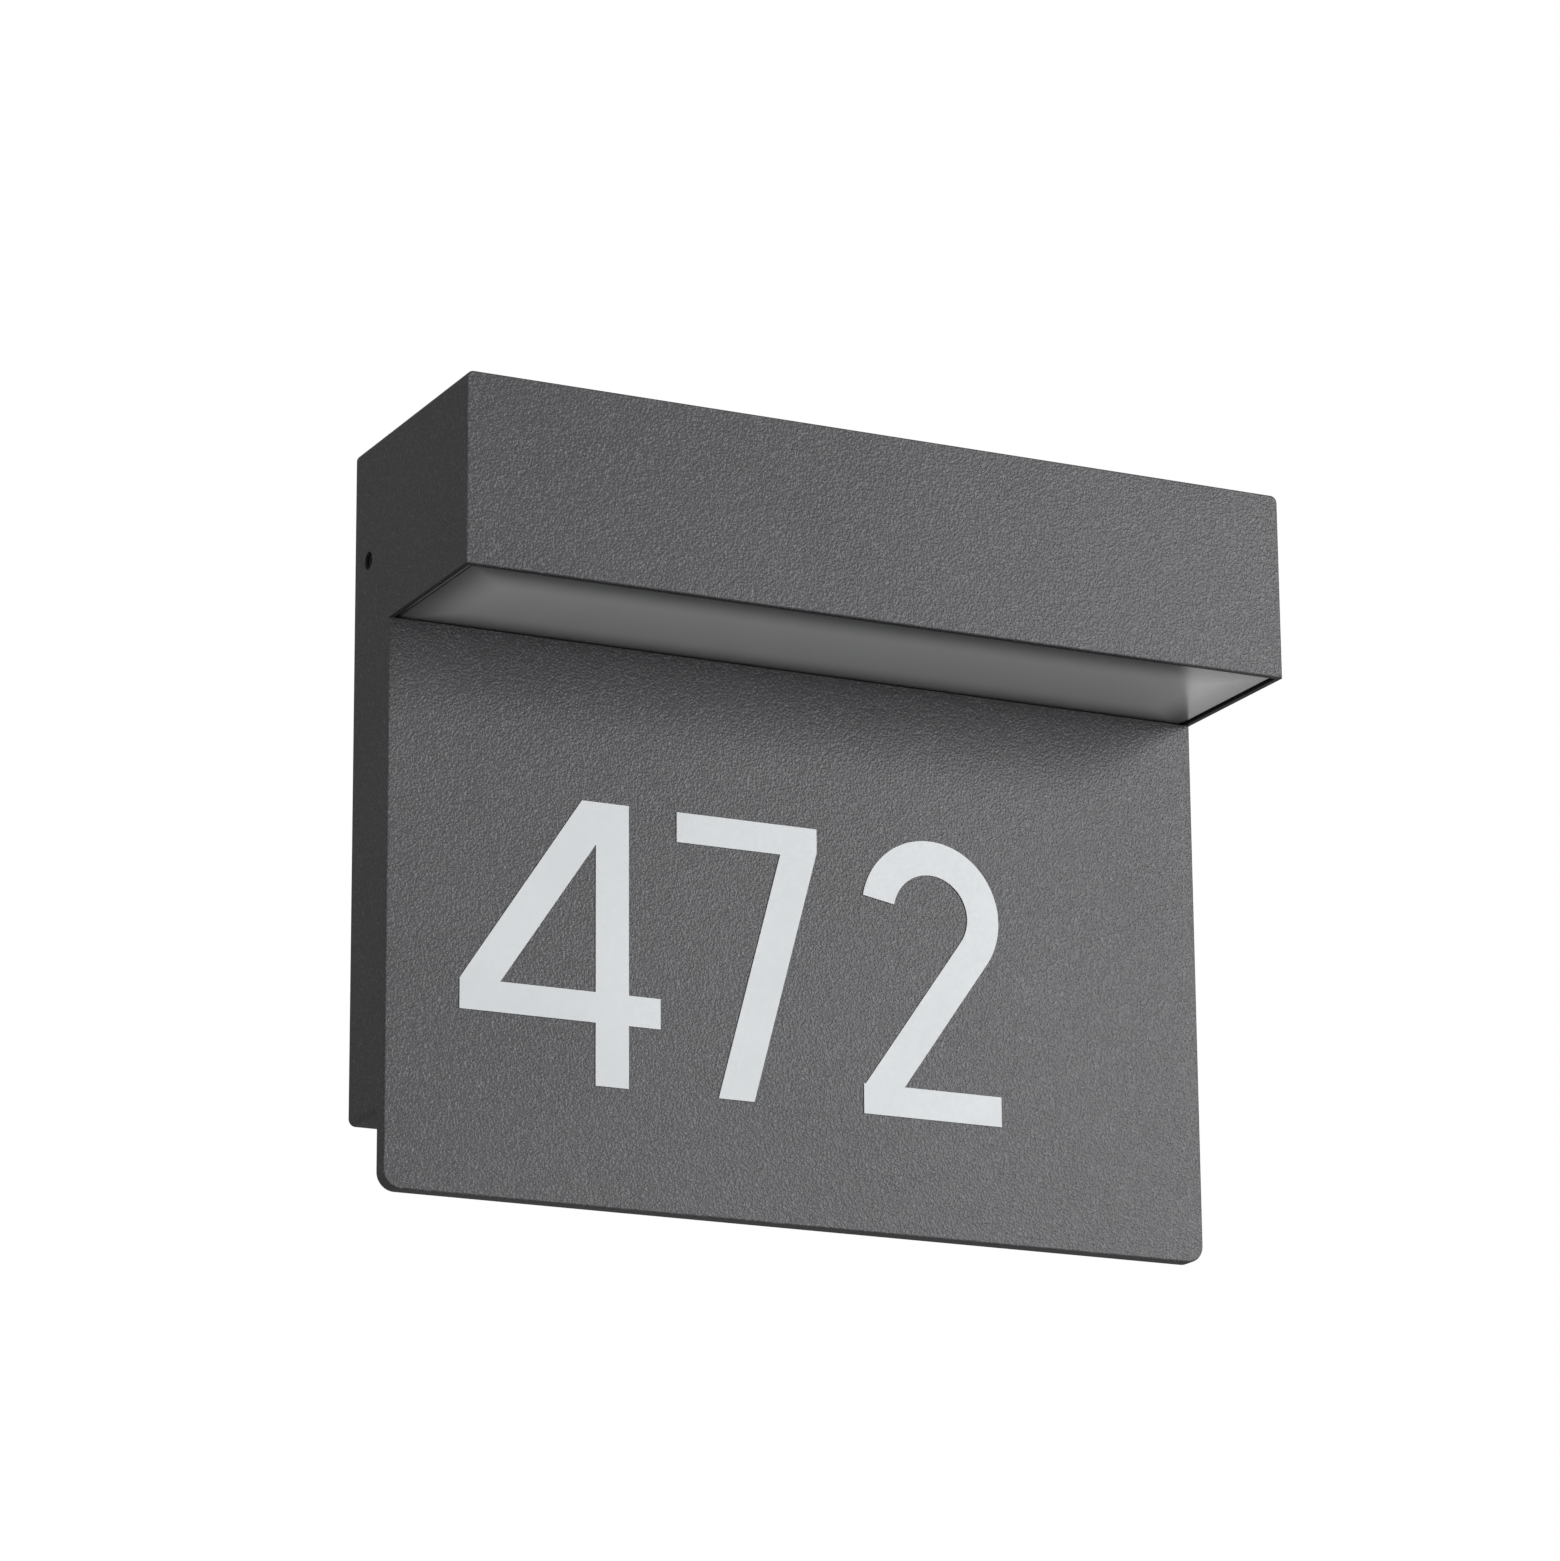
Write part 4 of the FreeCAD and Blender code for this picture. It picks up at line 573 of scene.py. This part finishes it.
# Silicone, extruded: dark, soft, matt.
BLACK_SILICONE = Moulding("extruded_black_silicone", "0d0d0e", "09090a", 0.5, 8.0, 0.02, 0.6, 0.2)
# Moulded EPDM rubber: dull black with a grey bloom.
BLACK_RUBBER = Moulding("moulded_black_rubber", "242526", "1b1c1d", 0.5, 6.0, 0.04, 0.68, 0.35)
# Closed-cell EPDM foam strip: matt black, pitted by cells.
GASKET_FOAM = CellFoam("closed_cell_foam")
# Zinc-plated, blue-passivated sheet steel: cool silver, cloudy, with rolling lines along it.
ZINC_SHEET = Metal("zinc_plated_rolled_steel", "bfc2c6", "b0b4b9", line_mm=0.35,
                   stretch=(0.08, 1.0, 1.0), cloud_mm=22.0, relief_mm=0.012, roughness=0.38)
# Zinc-plated cold-headed steel screws: brighter, with turning marks.
ZINC_SCREW = Metal("zinc_plated_screw_steel", "cfd2d5", "b2b6bb", line_mm=0.2, cloud_mm=3.0,
                   roughness=0.30)
# A2 stainless, machined and blackened: reads as a black hole in the side.
BLACKENED = Metal("blackened_stainless_steel", "3a3b3d", "2a2b2c", line_mm=0.15,
                  stretch=(1.0, 0.2, 0.2), cloud_mm=2.0, relief_mm=0.008, roughness=0.42)
# Turned brass: warm yellow, slightly tarnished.
BRASS = Metal("turned_brass", "d9b56a", "b8924c", line_mm=0.2, stretch=(0.3, 1.0, 1.0),
              cloud_mm=2.5, roughness=0.28)
# Tinned copper: grey-white, soft shine.
TINNED_COPPER = Metal("tinned_copper", "cfcfc8", "b3b3ab", line_mm=0.2, cloud_mm=2.0,
                      roughness=0.35)
# White-lacquered steel sheet: smooth, bright, slightly glossy, to throw the light down.
WHITE_SHEET = Moulding("white_lacquered_sheet", "eeeeea", "e4e4e0", 1.0, 30.0, 0.01, 0.35)
# White solder mask over aluminium: clean white, satin.
WHITE_MASK = Moulding("white_solder_mask", "efefec", "e2e2de", 0.5, 12.0, 0.01, 0.4)
# Phosphor silicone over the diode: egg-yolk yellow.
PHOSPHOR = Moulding("phosphor_silicone", "e8c653", "dcb23c", 0.3, 1.2, 0.01, 0.45)
# Flame-retardant polycarbonate, moulded with a spark texture: off-white, satin.
WHITE_MOULDING = Moulding("moulded_white_polycarbonate", "e4e4df", "d8d8d2", 0.5, 20.0, 0.035, 0.48)
# Green solder mask on fibreglass board.
GREEN_MASK = Moulding("green_solder_mask", "1f5c3a", "174a2f", 0.6, 10.0, 0.02, 0.35)
# Mixed component bodies of the driver: dark epoxy.
EPOXY = Moulding("black_moulded_epoxy", "26262a", "1d1d20", 0.4, 5.0, 0.02, 0.5)
# Moulded polyamide terminal body: milky natural white.
POLYAMIDE = Moulding("moulded_natural_polyamide", "dad9cd", "cccabb", 0.6, 8.0, 0.03, 0.4)

# PVC insulation, extruded over fine strands: satin, scuffed, in the colours of the poles.
BROWN_PVC = StripedInsulation("extruded_brown_pvc", "5d3a24", "5d3a24")
BLUE_PVC = StripedInsulation("extruded_blue_pvc", "2a5c9e", "2a5c9e")
EARTH_PVC = StripedInsulation("extruded_green_yellow_pvc", "2f7d3b", "e2c62f", 1.0)
RED_PVC = StripedInsulation("extruded_red_pvc", "a3262a", "a3262a")
BLACK_PVC = StripedInsulation("extruded_black_pvc", "1e1e20", "1e1e20")


# ---------------------------------------------------------------------------------------------
# Modelling helpers
# ---------------------------------------------------------------------------------------------

ROUND_ABOVE = 40.0  # degrees: sharper edges are rounded
SMOOTH_BELOW = 35.0  # degrees: softer edges are shaded smooth
SAME_WAY = 0.99  # cosine: directions closer than this count as the same
SAME_LEVEL = 0.05 * MM  # faces closer than this count as level with each other


def deselect_all() -> None:
    """Leaves object mode with nothing selected."""
    if bpy.context.object and bpy.context.object.mode != "OBJECT":
        bpy.ops.object.mode_set(mode="OBJECT")
    bpy.ops.object.select_all(action="DESELECT")


def node(name: str) -> bpy.types.Object:
    """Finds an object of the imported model.

    Args:
        name: The node's name.

    Returns:
        The object.
    """
    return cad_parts[name]


def activate(piece: bpy.types.Object) -> None:
    """Leaves object mode and makes one object the only selected one.

    Args:
        piece: The object.
    """
    deselect_all()
    piece.select_set(True)
    bpy.context.view_layer.objects.active = piece


def close_edit() -> None:
    """Turns all normals of the edited mesh outward and leaves edit mode."""
    bpy.ops.mesh.select_all(action="SELECT")
    bpy.ops.mesh.normals_make_consistent(inside=False)
    bpy.ops.object.mode_set(mode="OBJECT")


def place_among(piece: bpy.types.Object, body: Body, replaced: str) -> None:
    """Lets a modelled piece ride on a body and stand for a plain node.

    Args:
        piece: The piece.
        body: The body that it moves with.
        replaced: The node that it stands for.
    """
    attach(piece, body.value)
    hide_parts(replaced)


def grow(lift: float, share: float = 1.0) -> None:
    """Extrudes the selected face along Z and scales its ring about the Z axis.

    Args:
        lift: How far the face moves, in metres.
        share: The scale of its ring.
    """
    bpy.ops.mesh.extrude_region_move(TRANSFORM_OT_translate={"value": (0.0, 0.0, lift)})
    bpy.ops.transform.resize(value=(share, share, 1.0), center_override=(0.0, 0.0, 0.0))


def select_faces(piece: bpy.types.Object, normal: Point) -> None:
    """Selects the outermost faces that look along a direction, in edit mode.

    Args:
        piece: The object in edit mode.
        normal: The direction.
    """
    bpy.ops.mesh.select_mode(type="FACE")
    bpy.ops.mesh.select_all(action="DESELECT")
    mesh = bmesh.from_edit_mesh(piece.data)
    ahead = [face for face in mesh.faces if face.normal.dot(Vector(normal)) > SAME_WAY]
    reach = max(face.calc_center_median().dot(Vector(normal)) for face in ahead)
    for face in ahead:
        face.select = face.calc_center_median().dot(Vector(normal)) > reach - SAME_LEVEL
    bmesh.update_edit_mesh(piece.data)


def soften(piece: bpy.types.Object, width_mm: float) -> None:
    """Rounds the sharp edges a little and shades the rest smooth.

    Args:
        piece: The object to finish.
        width_mm: The width of the rounding.
    """
    edge = piece.modifiers.new("edge_rounding", "BEVEL")
    edge.width = width_mm * MM
    edge.segments = 2
    edge.angle_limit = math.radians(ROUND_ABOVE)
    activate(piece)
    bpy.ops.object.modifier_apply(modifier=edge.name)
    bpy.ops.object.shade_smooth_by_angle(angle=math.radians(SMOOTH_BELOW))


# ---------------------------------------------------------------------------------------------
# Sub-assemblies
# ---------------------------------------------------------------------------------------------

@dataclass
class SignBody:
    """The cast housing with the number plate and its figures."""

    housing: str = "lamp_housing"
    plate: str = "number_plate"
    figures: tuple[str, ...] = ("numeral_left", "numeral_middle", "numeral_right")

    def build(self) -> None:
        """Dresses the casting, the plate and the film figures."""
        ANTHRACITE_CASTING.dress(node(self.housing))
        ANTHRACITE_PLATE.dress(node(self.plate))
        GREY_FILM.dress(*map(node, self.figures))
        ZINC_SCREW.dress(node("plate_screws"))
        LOG.info("sign body dressed")


@dataclass
class LightPanel:
    """The satin panel, its seal and the tray of diodes behind it."""

    def build(self) -> None:
        """Dresses the panel, the seal, the tray and the board."""
        SATIN_ACRYLIC.dress(node("diffuser"))
        BLACK_SILICONE.dress(node("diffuser_seal"))
        WHITE_SHEET.dress(node("led_tray"))
        WHITE_MASK.dress(node("led_board"))
        PHOSPHOR.dress(node("led_chips"))
        WHITE_MOULDING.dress(node("led_connector"))
        ZINC_SCREW.dress(node("tray_screws"), node("board_screws"))
        BLACK_RUBBER.dress(node("lead_grommet"))
        LOG.info("light panel dressed")


@dataclass
class DriverLid:
    """The driver's snap-in lid: a plate with a sunk field, a plug below it and raised frames."""

    rim_mm: float = 2.6
    sink_mm: float = 0.6
    corner_mm: float = 2.0
    corner_steps: int = 5
    edge_mm: float = 0.18
    plug_mm: float = 1.5
    plug_inset_mm: float = 1.7
    frames: int = 3
    frame_mm: float = 0.9
    frame_gap_mm: float = 2.2
    frame_rise_mm: float = 0.4

    def step(
        self, lid: bpy.types.Object, way: float, inset_mm: float, rise_mm: float, keep: bool = False
    ) -> None:
        """Insets the lid's face and moves the inner face out or in.

        Args:
            lid: The lid in edit mode.
            way: 1 for the face to the wall, -1 for the one into the case.
            inset_mm: How far the ring lies inside the last one.
            rise_mm: How far the inner face moves outward.
            keep: Whether the face that is selected now is taken.
        """
        if not keep:
            select_faces(lid, (0.0, way, 0.0))
        mesh = bmesh.from_edit_mesh(lid.data)
        places = [vert.co for vert in mesh.verts if vert.select]
        low = Vector(min(place[axis] for place in places) for axis in range(3))
        high = Vector(max(place[axis] for place in places) for axis in range(3))
        across, along = [1.0 - 2 * inset_mm * MM / (high[axis] - low[axis]) for axis in (0, 2)]
        bpy.ops.mesh.extrude_region_move(TRANSFORM_OT_translate={"value": (0.0, 0.0, 0.0)})
        bpy.ops.transform.resize(value=(across, 1.0, along),
                                 center_override=tuple((low + high) / 2))
        bpy.ops.mesh.extrude_region_move(
            TRANSFORM_OT_translate={"value": (0.0, way * rise_mm * MM, 0.0)})

    def build(self) -> bpy.types.Object:
        """Models the lid in place of its plain solid.

        Returns:
            The lid.
        """
        low, high = (Vector(corner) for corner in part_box("driver_lid"))
        low.y += self.plug_mm * MM
        size, middle = high - low, (high + low) / 2
        deselect_all()
        bpy.ops.mesh.primitive_cube_add(size=1.0)
        lid = bpy.context.object
        lid.name = "driver_snap_lid"
        bpy.ops.object.mode_set(mode="EDIT")
        bpy.ops.transform.resize(value=tuple(size), center_override=(0.0, 0.0, 0.0))
        bpy.ops.transform.translate(value=tuple(middle))
        bpy.ops.mesh.select_mode(type="EDGE")
        bpy.ops.mesh.select_all(action="DESELECT")
        mesh = bmesh.from_edit_mesh(lid.data)
        for edge in mesh.edges:
            along = (edge.verts[0].co - edge.verts[1].co).normalized()
            edge.select = abs(along.y) > SAME_WAY
        bmesh.update_edit_mesh(lid.data)
        bpy.ops.mesh.bevel(offset=self.corner_mm * MM, segments=self.corner_steps)
        self.step(lid, -1.0, self.plug_inset_mm, self.plug_mm)
        self.step(lid, 1.0, self.rim_mm, -self.sink_mm)
        for _ in range(self.frames):
            self.step(lid, 1.0, self.frame_gap_mm, self.frame_rise_mm, keep=True)
            self.step(lid, 1.0, self.frame_mm, -self.frame_rise_mm, keep=True)
        close_edit()
        soften(lid, self.edge_mm)
        WHITE_MOULDING.dress(lid)
        place_among(lid, Body.LAMP, "driver_lid")
        LOG.info("driver lid modelled")
        return lid


@dataclass
class SupplyBay:
    """What sits in the rear shell: the driver, the terminals and the earth point."""

    def build(self) -> None:
        """Dresses the driver, the terminal block and the earth point."""
        WHITE_MOULDING.dress(node("driver_case"))
        DriverLid().build()
        GREEN_MASK.dress(node("driver_board"))
        EPOXY.dress(node("driver_components"))
        ZINC_SCREW.dress(node("driver_screws"), node("terminal_fixing_screws"),
                         node("earth_washer"), node("terminal_clamp_screws"))
        POLYAMIDE.dress(node("terminal_block"))
        BRASS.dress(node("terminal_clamps"), node("earth_screw"))
        TINNED_COPPER.dress(node("earth_ring"))
        LOG.info("supply bay dressed")


@dataclass
class Lead:
    """One insulated lead on a smooth line through its control points, in millimetres."""

    name: str
    replaced: str
    diameter_mm: float
    length_mm: float
    route: tuple[Point, ...]
    finish: Finish
    slot: str
    body: Body = Body.LAMP

    def build(self) -> bpy.types.Object:
        """Models the lead and lets it stand for its plain solid.

        Returns:
            The lead's curve object.
        """
        curve = bpy.data.curves.new(self.name, "CURVE")
        curve.dimensions = "3D"
        curve.bevel_depth = self.diameter_mm / 2 * MM
        curve.bevel_resolution = 4
        curve.resolution_u = 16
        curve.use_fill_caps = True
        spline = curve.splines.new("NURBS")
        spline.points.add(len(self.route) - 1)
        for place, point in zip(spline.points, self.route):
            place.co = (*[part * MM for part in point], 1.0)
        spline.order_u = 3
        spline.use_endpoint_u = True
        lead = bpy.data.objects.new(self.name, curve)
        bpy.context.scene.collection.objects.link(lead)
        self.finish.dress(lead)
        place_among(lead, self.body, self.replaced)
        LOG.info("%s modelled", self.name)
        return lead


LEADS: tuple[Lead, ...] = (
    Lead("live_lead", "mains_lead_live", 2.2, 78.3, (
        (-88.0, -10.0, -56.5), (-88.0, -10.0, -70.5), (-85.5, -10.0, -90.5), (-68.0, -10.0, -112.0),
        (-50.0, -10.0, -112.0),
    ), BROWN_PVC, "brown_insulation"),
    Lead("neutral_lead", "mains_lead_neutral", 2.2, 65.8, (
        (-78.0, -10.0, -56.5), (-78.0, -10.0, -68.0), (-76.2, -10.0, -86.0), (-64.5, -10.0, -106.0),
        (-50.0, -10.0, -106.0),
    ), BLUE_PVC, "blue_insulation"),
    Lead("earthing_lead", "earth_lead", 2.2, 42.5, (
        (-68.0, -10.0, -56.5), (-68.0, -10.0, -66.5), (-61.0, -11.0, -77.5), (-51.0, -12.8, -82.4),
        (-42.2, -12.8, -82.4),
    ), EARTH_PVC, "green_yellow_insulation"),
    Lead("lamp_lead_plus", "led_lead_positive", 1.6, 167.1, (
        (60.0, -9.0, -104.8), (73.0, -9.0, -104.8), (85.0, -9.0, -95.8), (87.5, -9.0, -73.8),
        (86.5, -9.0, -43.8), (87.0, -9.0, -11.5), (87.0, -9.0, 6.0), (87.0, -30.0, 6.0),
        (87.0, -41.8, 4.5), (87.0, -41.8, 17.1),
    ), RED_PVC, "red_insulation"),
    Lead("lamp_lead_minus", "led_lead_negative", 1.6, 174.5, (
        (60.0, -9.0, -109.8), (76.0, -9.0, -109.8), (88.5, -9.0, -98.3), (91.5, -9.0, -73.8),
        (90.3, -9.0, -43.8), (90.0, -9.0, -11.5), (90.0, -9.0, 6.0), (90.0, -30.0, 6.0),
        (90.0, -41.8, 4.5), (90.0, -41.8, 17.1),
    ), BLACK_PVC, "black_insulation"),
)


@dataclass
class WallStrap:
    """The strap bracket on the wall, its rubber bush and the foam ring of the shell's rim."""

    def build(self) -> None:
        """Dresses the bracket, the bush and the foam ring."""
        ZINC_SHEET.dress(node("wall_bracket"))
        BLACK_RUBBER.dress(node("cable_grommet"))
        GASKET_FOAM.dress(node("wall_gasket"))
        LOG.info("wall strap dressed")


@dataclass
class GrubScrew:
    """A socket set screw in the shell's side: rolled thread, chamfered ends, hexagon socket."""

    side: Side
    radius_mm: float = 2.5
    root_mm: float = 2.05
    pitch_mm: float = 0.8
    length_mm: float = 6.0
    chamfer_mm: float = 0.4
    socket_mm: float = 2.5
    socket_depth_mm: float = 3.0
    edge_mm: float = 0.05
    corners: int = 48
    tip_share: float = 0.8
    drill_share: float = 0.4
    drill_point: float = 0.08
    turns: tuple[float, ...] = (0.35, 0.5, 0.85, 1.0)

    def rings(self) -> list[tuple[float, float]]:
        """Returns the height and radius of each ring of the outside, in millimetres."""
        rings = [(0.0, self.root_mm * self.tip_share), (self.chamfer_mm, self.root_mm)]
        radii = (self.radius_mm, self.radius_mm, self.root_mm, self.root_mm)
        end = self.length_mm - self.chamfer_mm
        level = self.chamfer_mm
        while level + self.pitch_mm < end:
            rings += [(level + self.pitch_mm * turn, radius)
                      for turn, radius in zip(self.turns, radii)]
            level += self.pitch_mm
        return rings + [(end, self.radius_mm), (self.length_mm, self.root_mm)]

    def build(self) -> bpy.types.Object:
        """Models the screw in place of its plain solid.

        Returns:
            The screw.
        """
        name = f"grub_screw_{self.side.name.lower()}"
        low, high = (Vector(corner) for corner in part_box(name))
        rings = self.rings()
        deselect_all()
        bpy.ops.mesh.primitive_circle_add(vertices=self.corners, radius=rings[0][1] * MM,
                                          fill_type="NGON")
        screw = bpy.context.object
        screw.name = f"{name}_threaded"
        bpy.ops.object.mode_set(mode="EDIT")
        bpy.ops.mesh.select_mode(type="FACE")
        bpy.ops.mesh.select_all(action="SELECT")
        for (level, radius), (next_level, next_radius) in zip(rings, rings[1:]):
            grow((next_level - level) * MM, next_radius / radius)
        flat = self.socket_mm / 2
        grow(0.0, flat / self.root_mm)
        mesh = bmesh.from_edit_mesh(screw.data)
        for vert in (v for v in mesh.verts if v.select):
            turn = math.atan2(vert.co.y, vert.co.x) % (math.tau / 6) - math.tau / 12
            reach = flat * MM / math.cos(turn)
            vert.co.xy = vert.co.xy.normalized() * reach
        bmesh.update_edit_mesh(screw.data)
        grow(-self.socket_depth_mm * MM)
        grow(-flat * self.drill_share * MM, self.drill_point)
        close_edit()
        outward = Matrix.Rotation(math.radians(90.0 * self.side.value), 4, "Y")
        tip = (low + high) / 2
        tip.x = high.x if self.side is Side.LEFT else low.x
        screw.data.transform(Matrix.Translation(tip) @ outward)
        soften(screw, self.edge_mm)
        BLACKENED.dress(screw)
        body = Body.GRUB_LEFT if self.side is Side.LEFT else Body.GRUB_RIGHT
        place_among(screw, body, name)
        LOG.info("%s modelled", name)
        return screw


# ---------------------------------------------------------------------------------------------
# Studio
# ---------------------------------------------------------------------------------------------

@dataclass(frozen=True)
class StudioFloor(Finish):
    """A pale matt floor that thins out to nothing at its rim."""

    colour: str = "e2e2e0"
    radius: float = 1.5
    solid_share: float = 0.45
    grain_mm: float = 4.0
    roughness_span: Span = (0.8, 0.95)

    def shade(self, tree: Tree) -> bpy.types.Node:
        """Builds the floor's paint.

        Args:
            tree: The material's node tree.

        Returns:
            The mix of paint and clear air.
        """
        place = object_place(tree)
        flat = add_node(tree, "ShaderNodeVectorMath", {0: place, 1: (1.0, 1.0, 0.0)},
                        operation="MULTIPLY")
        away = add_node(tree, "ShaderNodeVectorMath", {0: flat.outputs[0]}, operation="LENGTH")
        clear = spread(tree, away.outputs["Value"], (self.radius * self.solid_share, self.radius),
                       soft=True)
        paint = add_node(tree, "ShaderNodeBsdfPrincipled", {
            "Base Color": linear(self.colour), "Specular IOR Level": 0.2,
            "Roughness": spread(tree, noise(tree, place, self.grain_mm), (0.0, 1.0),
                                self.roughness_span),
        })
        air = add_node(tree, "ShaderNodeBsdfTransparent")
        return add_node(tree, "ShaderNodeMixShader", {
            0: clear, 1: paint.outputs[0], 2: air.outputs[0],
        })


@dataclass
class SoftBox:
    """A rectangular soft light that faces the sign."""

    name: str
    place: Point
    target: Point
    width: float
    height: float
    watts: float

    def build(self) -> bpy.types.Object:
        """Adds the light.

        Returns:
            The light object.
        """
        lamp = bpy.data.lights.new(self.name, "AREA")
        lamp.shape = "RECTANGLE"
        lamp.size = self.width
        lamp.size_y = self.height
        lamp.energy = self.watts
        light = bpy.data.objects.new(self.name, lamp)
        light.location = self.place
        aim = Vector(self.target) - Vector(self.place)
        light.rotation_euler = aim.to_track_quat("-Z", "Y").to_euler()
        bpy.context.scene.collection.objects.link(light)
        LOG.info("%s placed", self.name)
        return light


@dataclass
class Studio:
    """Floor, lights, white surroundings and the camera."""

    floor_level: float = -1.6
    floor_size: float = 6.0
    front_fill: float = 0.06
    back_fill: float = 0.48
    fill_span: Span = (-0.2, 0.4)
    camera_place: Point = (-0.7196, -1.4630, -0.5105)
    camera_turns: tuple[tuple[float, str], ...] = (
        (-26.351, "Z"), (15.925, "X"), (0.434, "Y"), (90.0, "X"),
    )
    lens_mm: float = 138.52
    softboxes: tuple[SoftBox, ...] = (
        SoftBox("key_softbox", (0.92, -1.17, 0.22), (0.0, -0.05, -0.05), 0.6, 0.65, 21.0),
        SoftBox("side_softbox", (-1.3, -0.35, 0.9), (-0.12, -0.04, 0.0), 0.6, 0.6, 5.0),
        SoftBox("front_softbox", (0.1, -1.9, -0.12), (0.0, -0.05, -0.07), 0.9, 0.5, 12.0),
    )

    def build(self) -> None:
        """Sets up everything round the sign."""
        self.lay_floor()
        for box in self.softboxes:
            box.build()
        self.surround()
        self.place_camera()
        bpy.context.scene.view_settings.view_transform = "Standard"
        LOG.info("studio ready")

    def lay_floor(self) -> None:
        """Lays the pale floor well below the sign, as under a wall at a front door."""
        deselect_all()
        bpy.ops.mesh.primitive_grid_add(x_subdivisions=8, y_subdivisions=8, size=self.floor_size,
                                        location=(0.0, 0.0, self.floor_level))
        floor = bpy.context.object
        floor.name = "studio_floor"
        StudioFloor("pale_matt_floor_paint").dress(floor)

    def surround(self) -> None:
        """Gives the world a soft fill, mostly from behind, and white wherever it is seen."""
        world = bpy.data.worlds.new("studio_surroundings")
        world.use_nodes = True
        tree = world.node_tree
        tree.nodes.clear()
        ray = add_node(tree, "ShaderNodeLightPath").outputs
        seen = compute(tree, "MAXIMUM", ray["Is Camera Ray"], ray["Is Glossy Ray"])
        seen = compute(tree, "MAXIMUM", seen, ray["Is Transmission Ray"])
        direction = add_node(tree, "ShaderNodeTexCoord").outputs["Generated"]
        depth = add_node(tree, "ShaderNodeSeparateXYZ", {0: direction}).outputs["Y"]
        strength = spread(tree, depth, self.fill_span, (self.front_fill, self.back_fill), soft=True)
        fill = add_node(tree, "ShaderNodeBackground", {"Color": WHITE, "Strength": strength})
        white = add_node(tree, "ShaderNodeBackground", {"Color": WHITE, "Strength": 1.0})
        mix = add_node(tree, "ShaderNodeMixShader", {
            0: seen, 1: fill.outputs[0], 2: white.outputs[0],
        })
        add_node(tree, "ShaderNodeOutputWorld", {"Surface": mix.outputs[0]})
        bpy.context.scene.world = world

    def place_camera(self) -> None:
        """Puts the camera low on the left, looking up at the hood's underside."""
        lens = bpy.data.cameras.new("camera")
        lens.sensor_fit = "HORIZONTAL"
        lens.sensor_width = 36.0
        lens.lens = self.lens_mm
        lens.clip_start = 0.05
        lens.clip_end = 50.0
        camera = bpy.data.objects.new("camera", lens)
        stand = Matrix.Translation(self.camera_place)
        for degrees, axis in self.camera_turns:
            stand = stand @ Matrix.Rotation(math.radians(degrees), 4, axis)
        camera.matrix_world = stand
        bpy.context.scene.collection.objects.link(camera)
        bpy.context.scene.camera = camera


# ---------------------------------------------------------------------------------------------
# Build
# ---------------------------------------------------------------------------------------------


def main() -> None:
    """Builds every sub-assembly in order, then the studio."""
    logging.basicConfig(level=logging.INFO, format="%(name)s: %(message)s")
    SignBody().build()
    LightPanel().build()
    SupplyBay().build()
    for lead in LEADS:
        lead.build()
    WallStrap().build()
    for side in Side:
        GrubScrew(side).build()
    Studio().build()


if __name__ == "__main__":
    main()
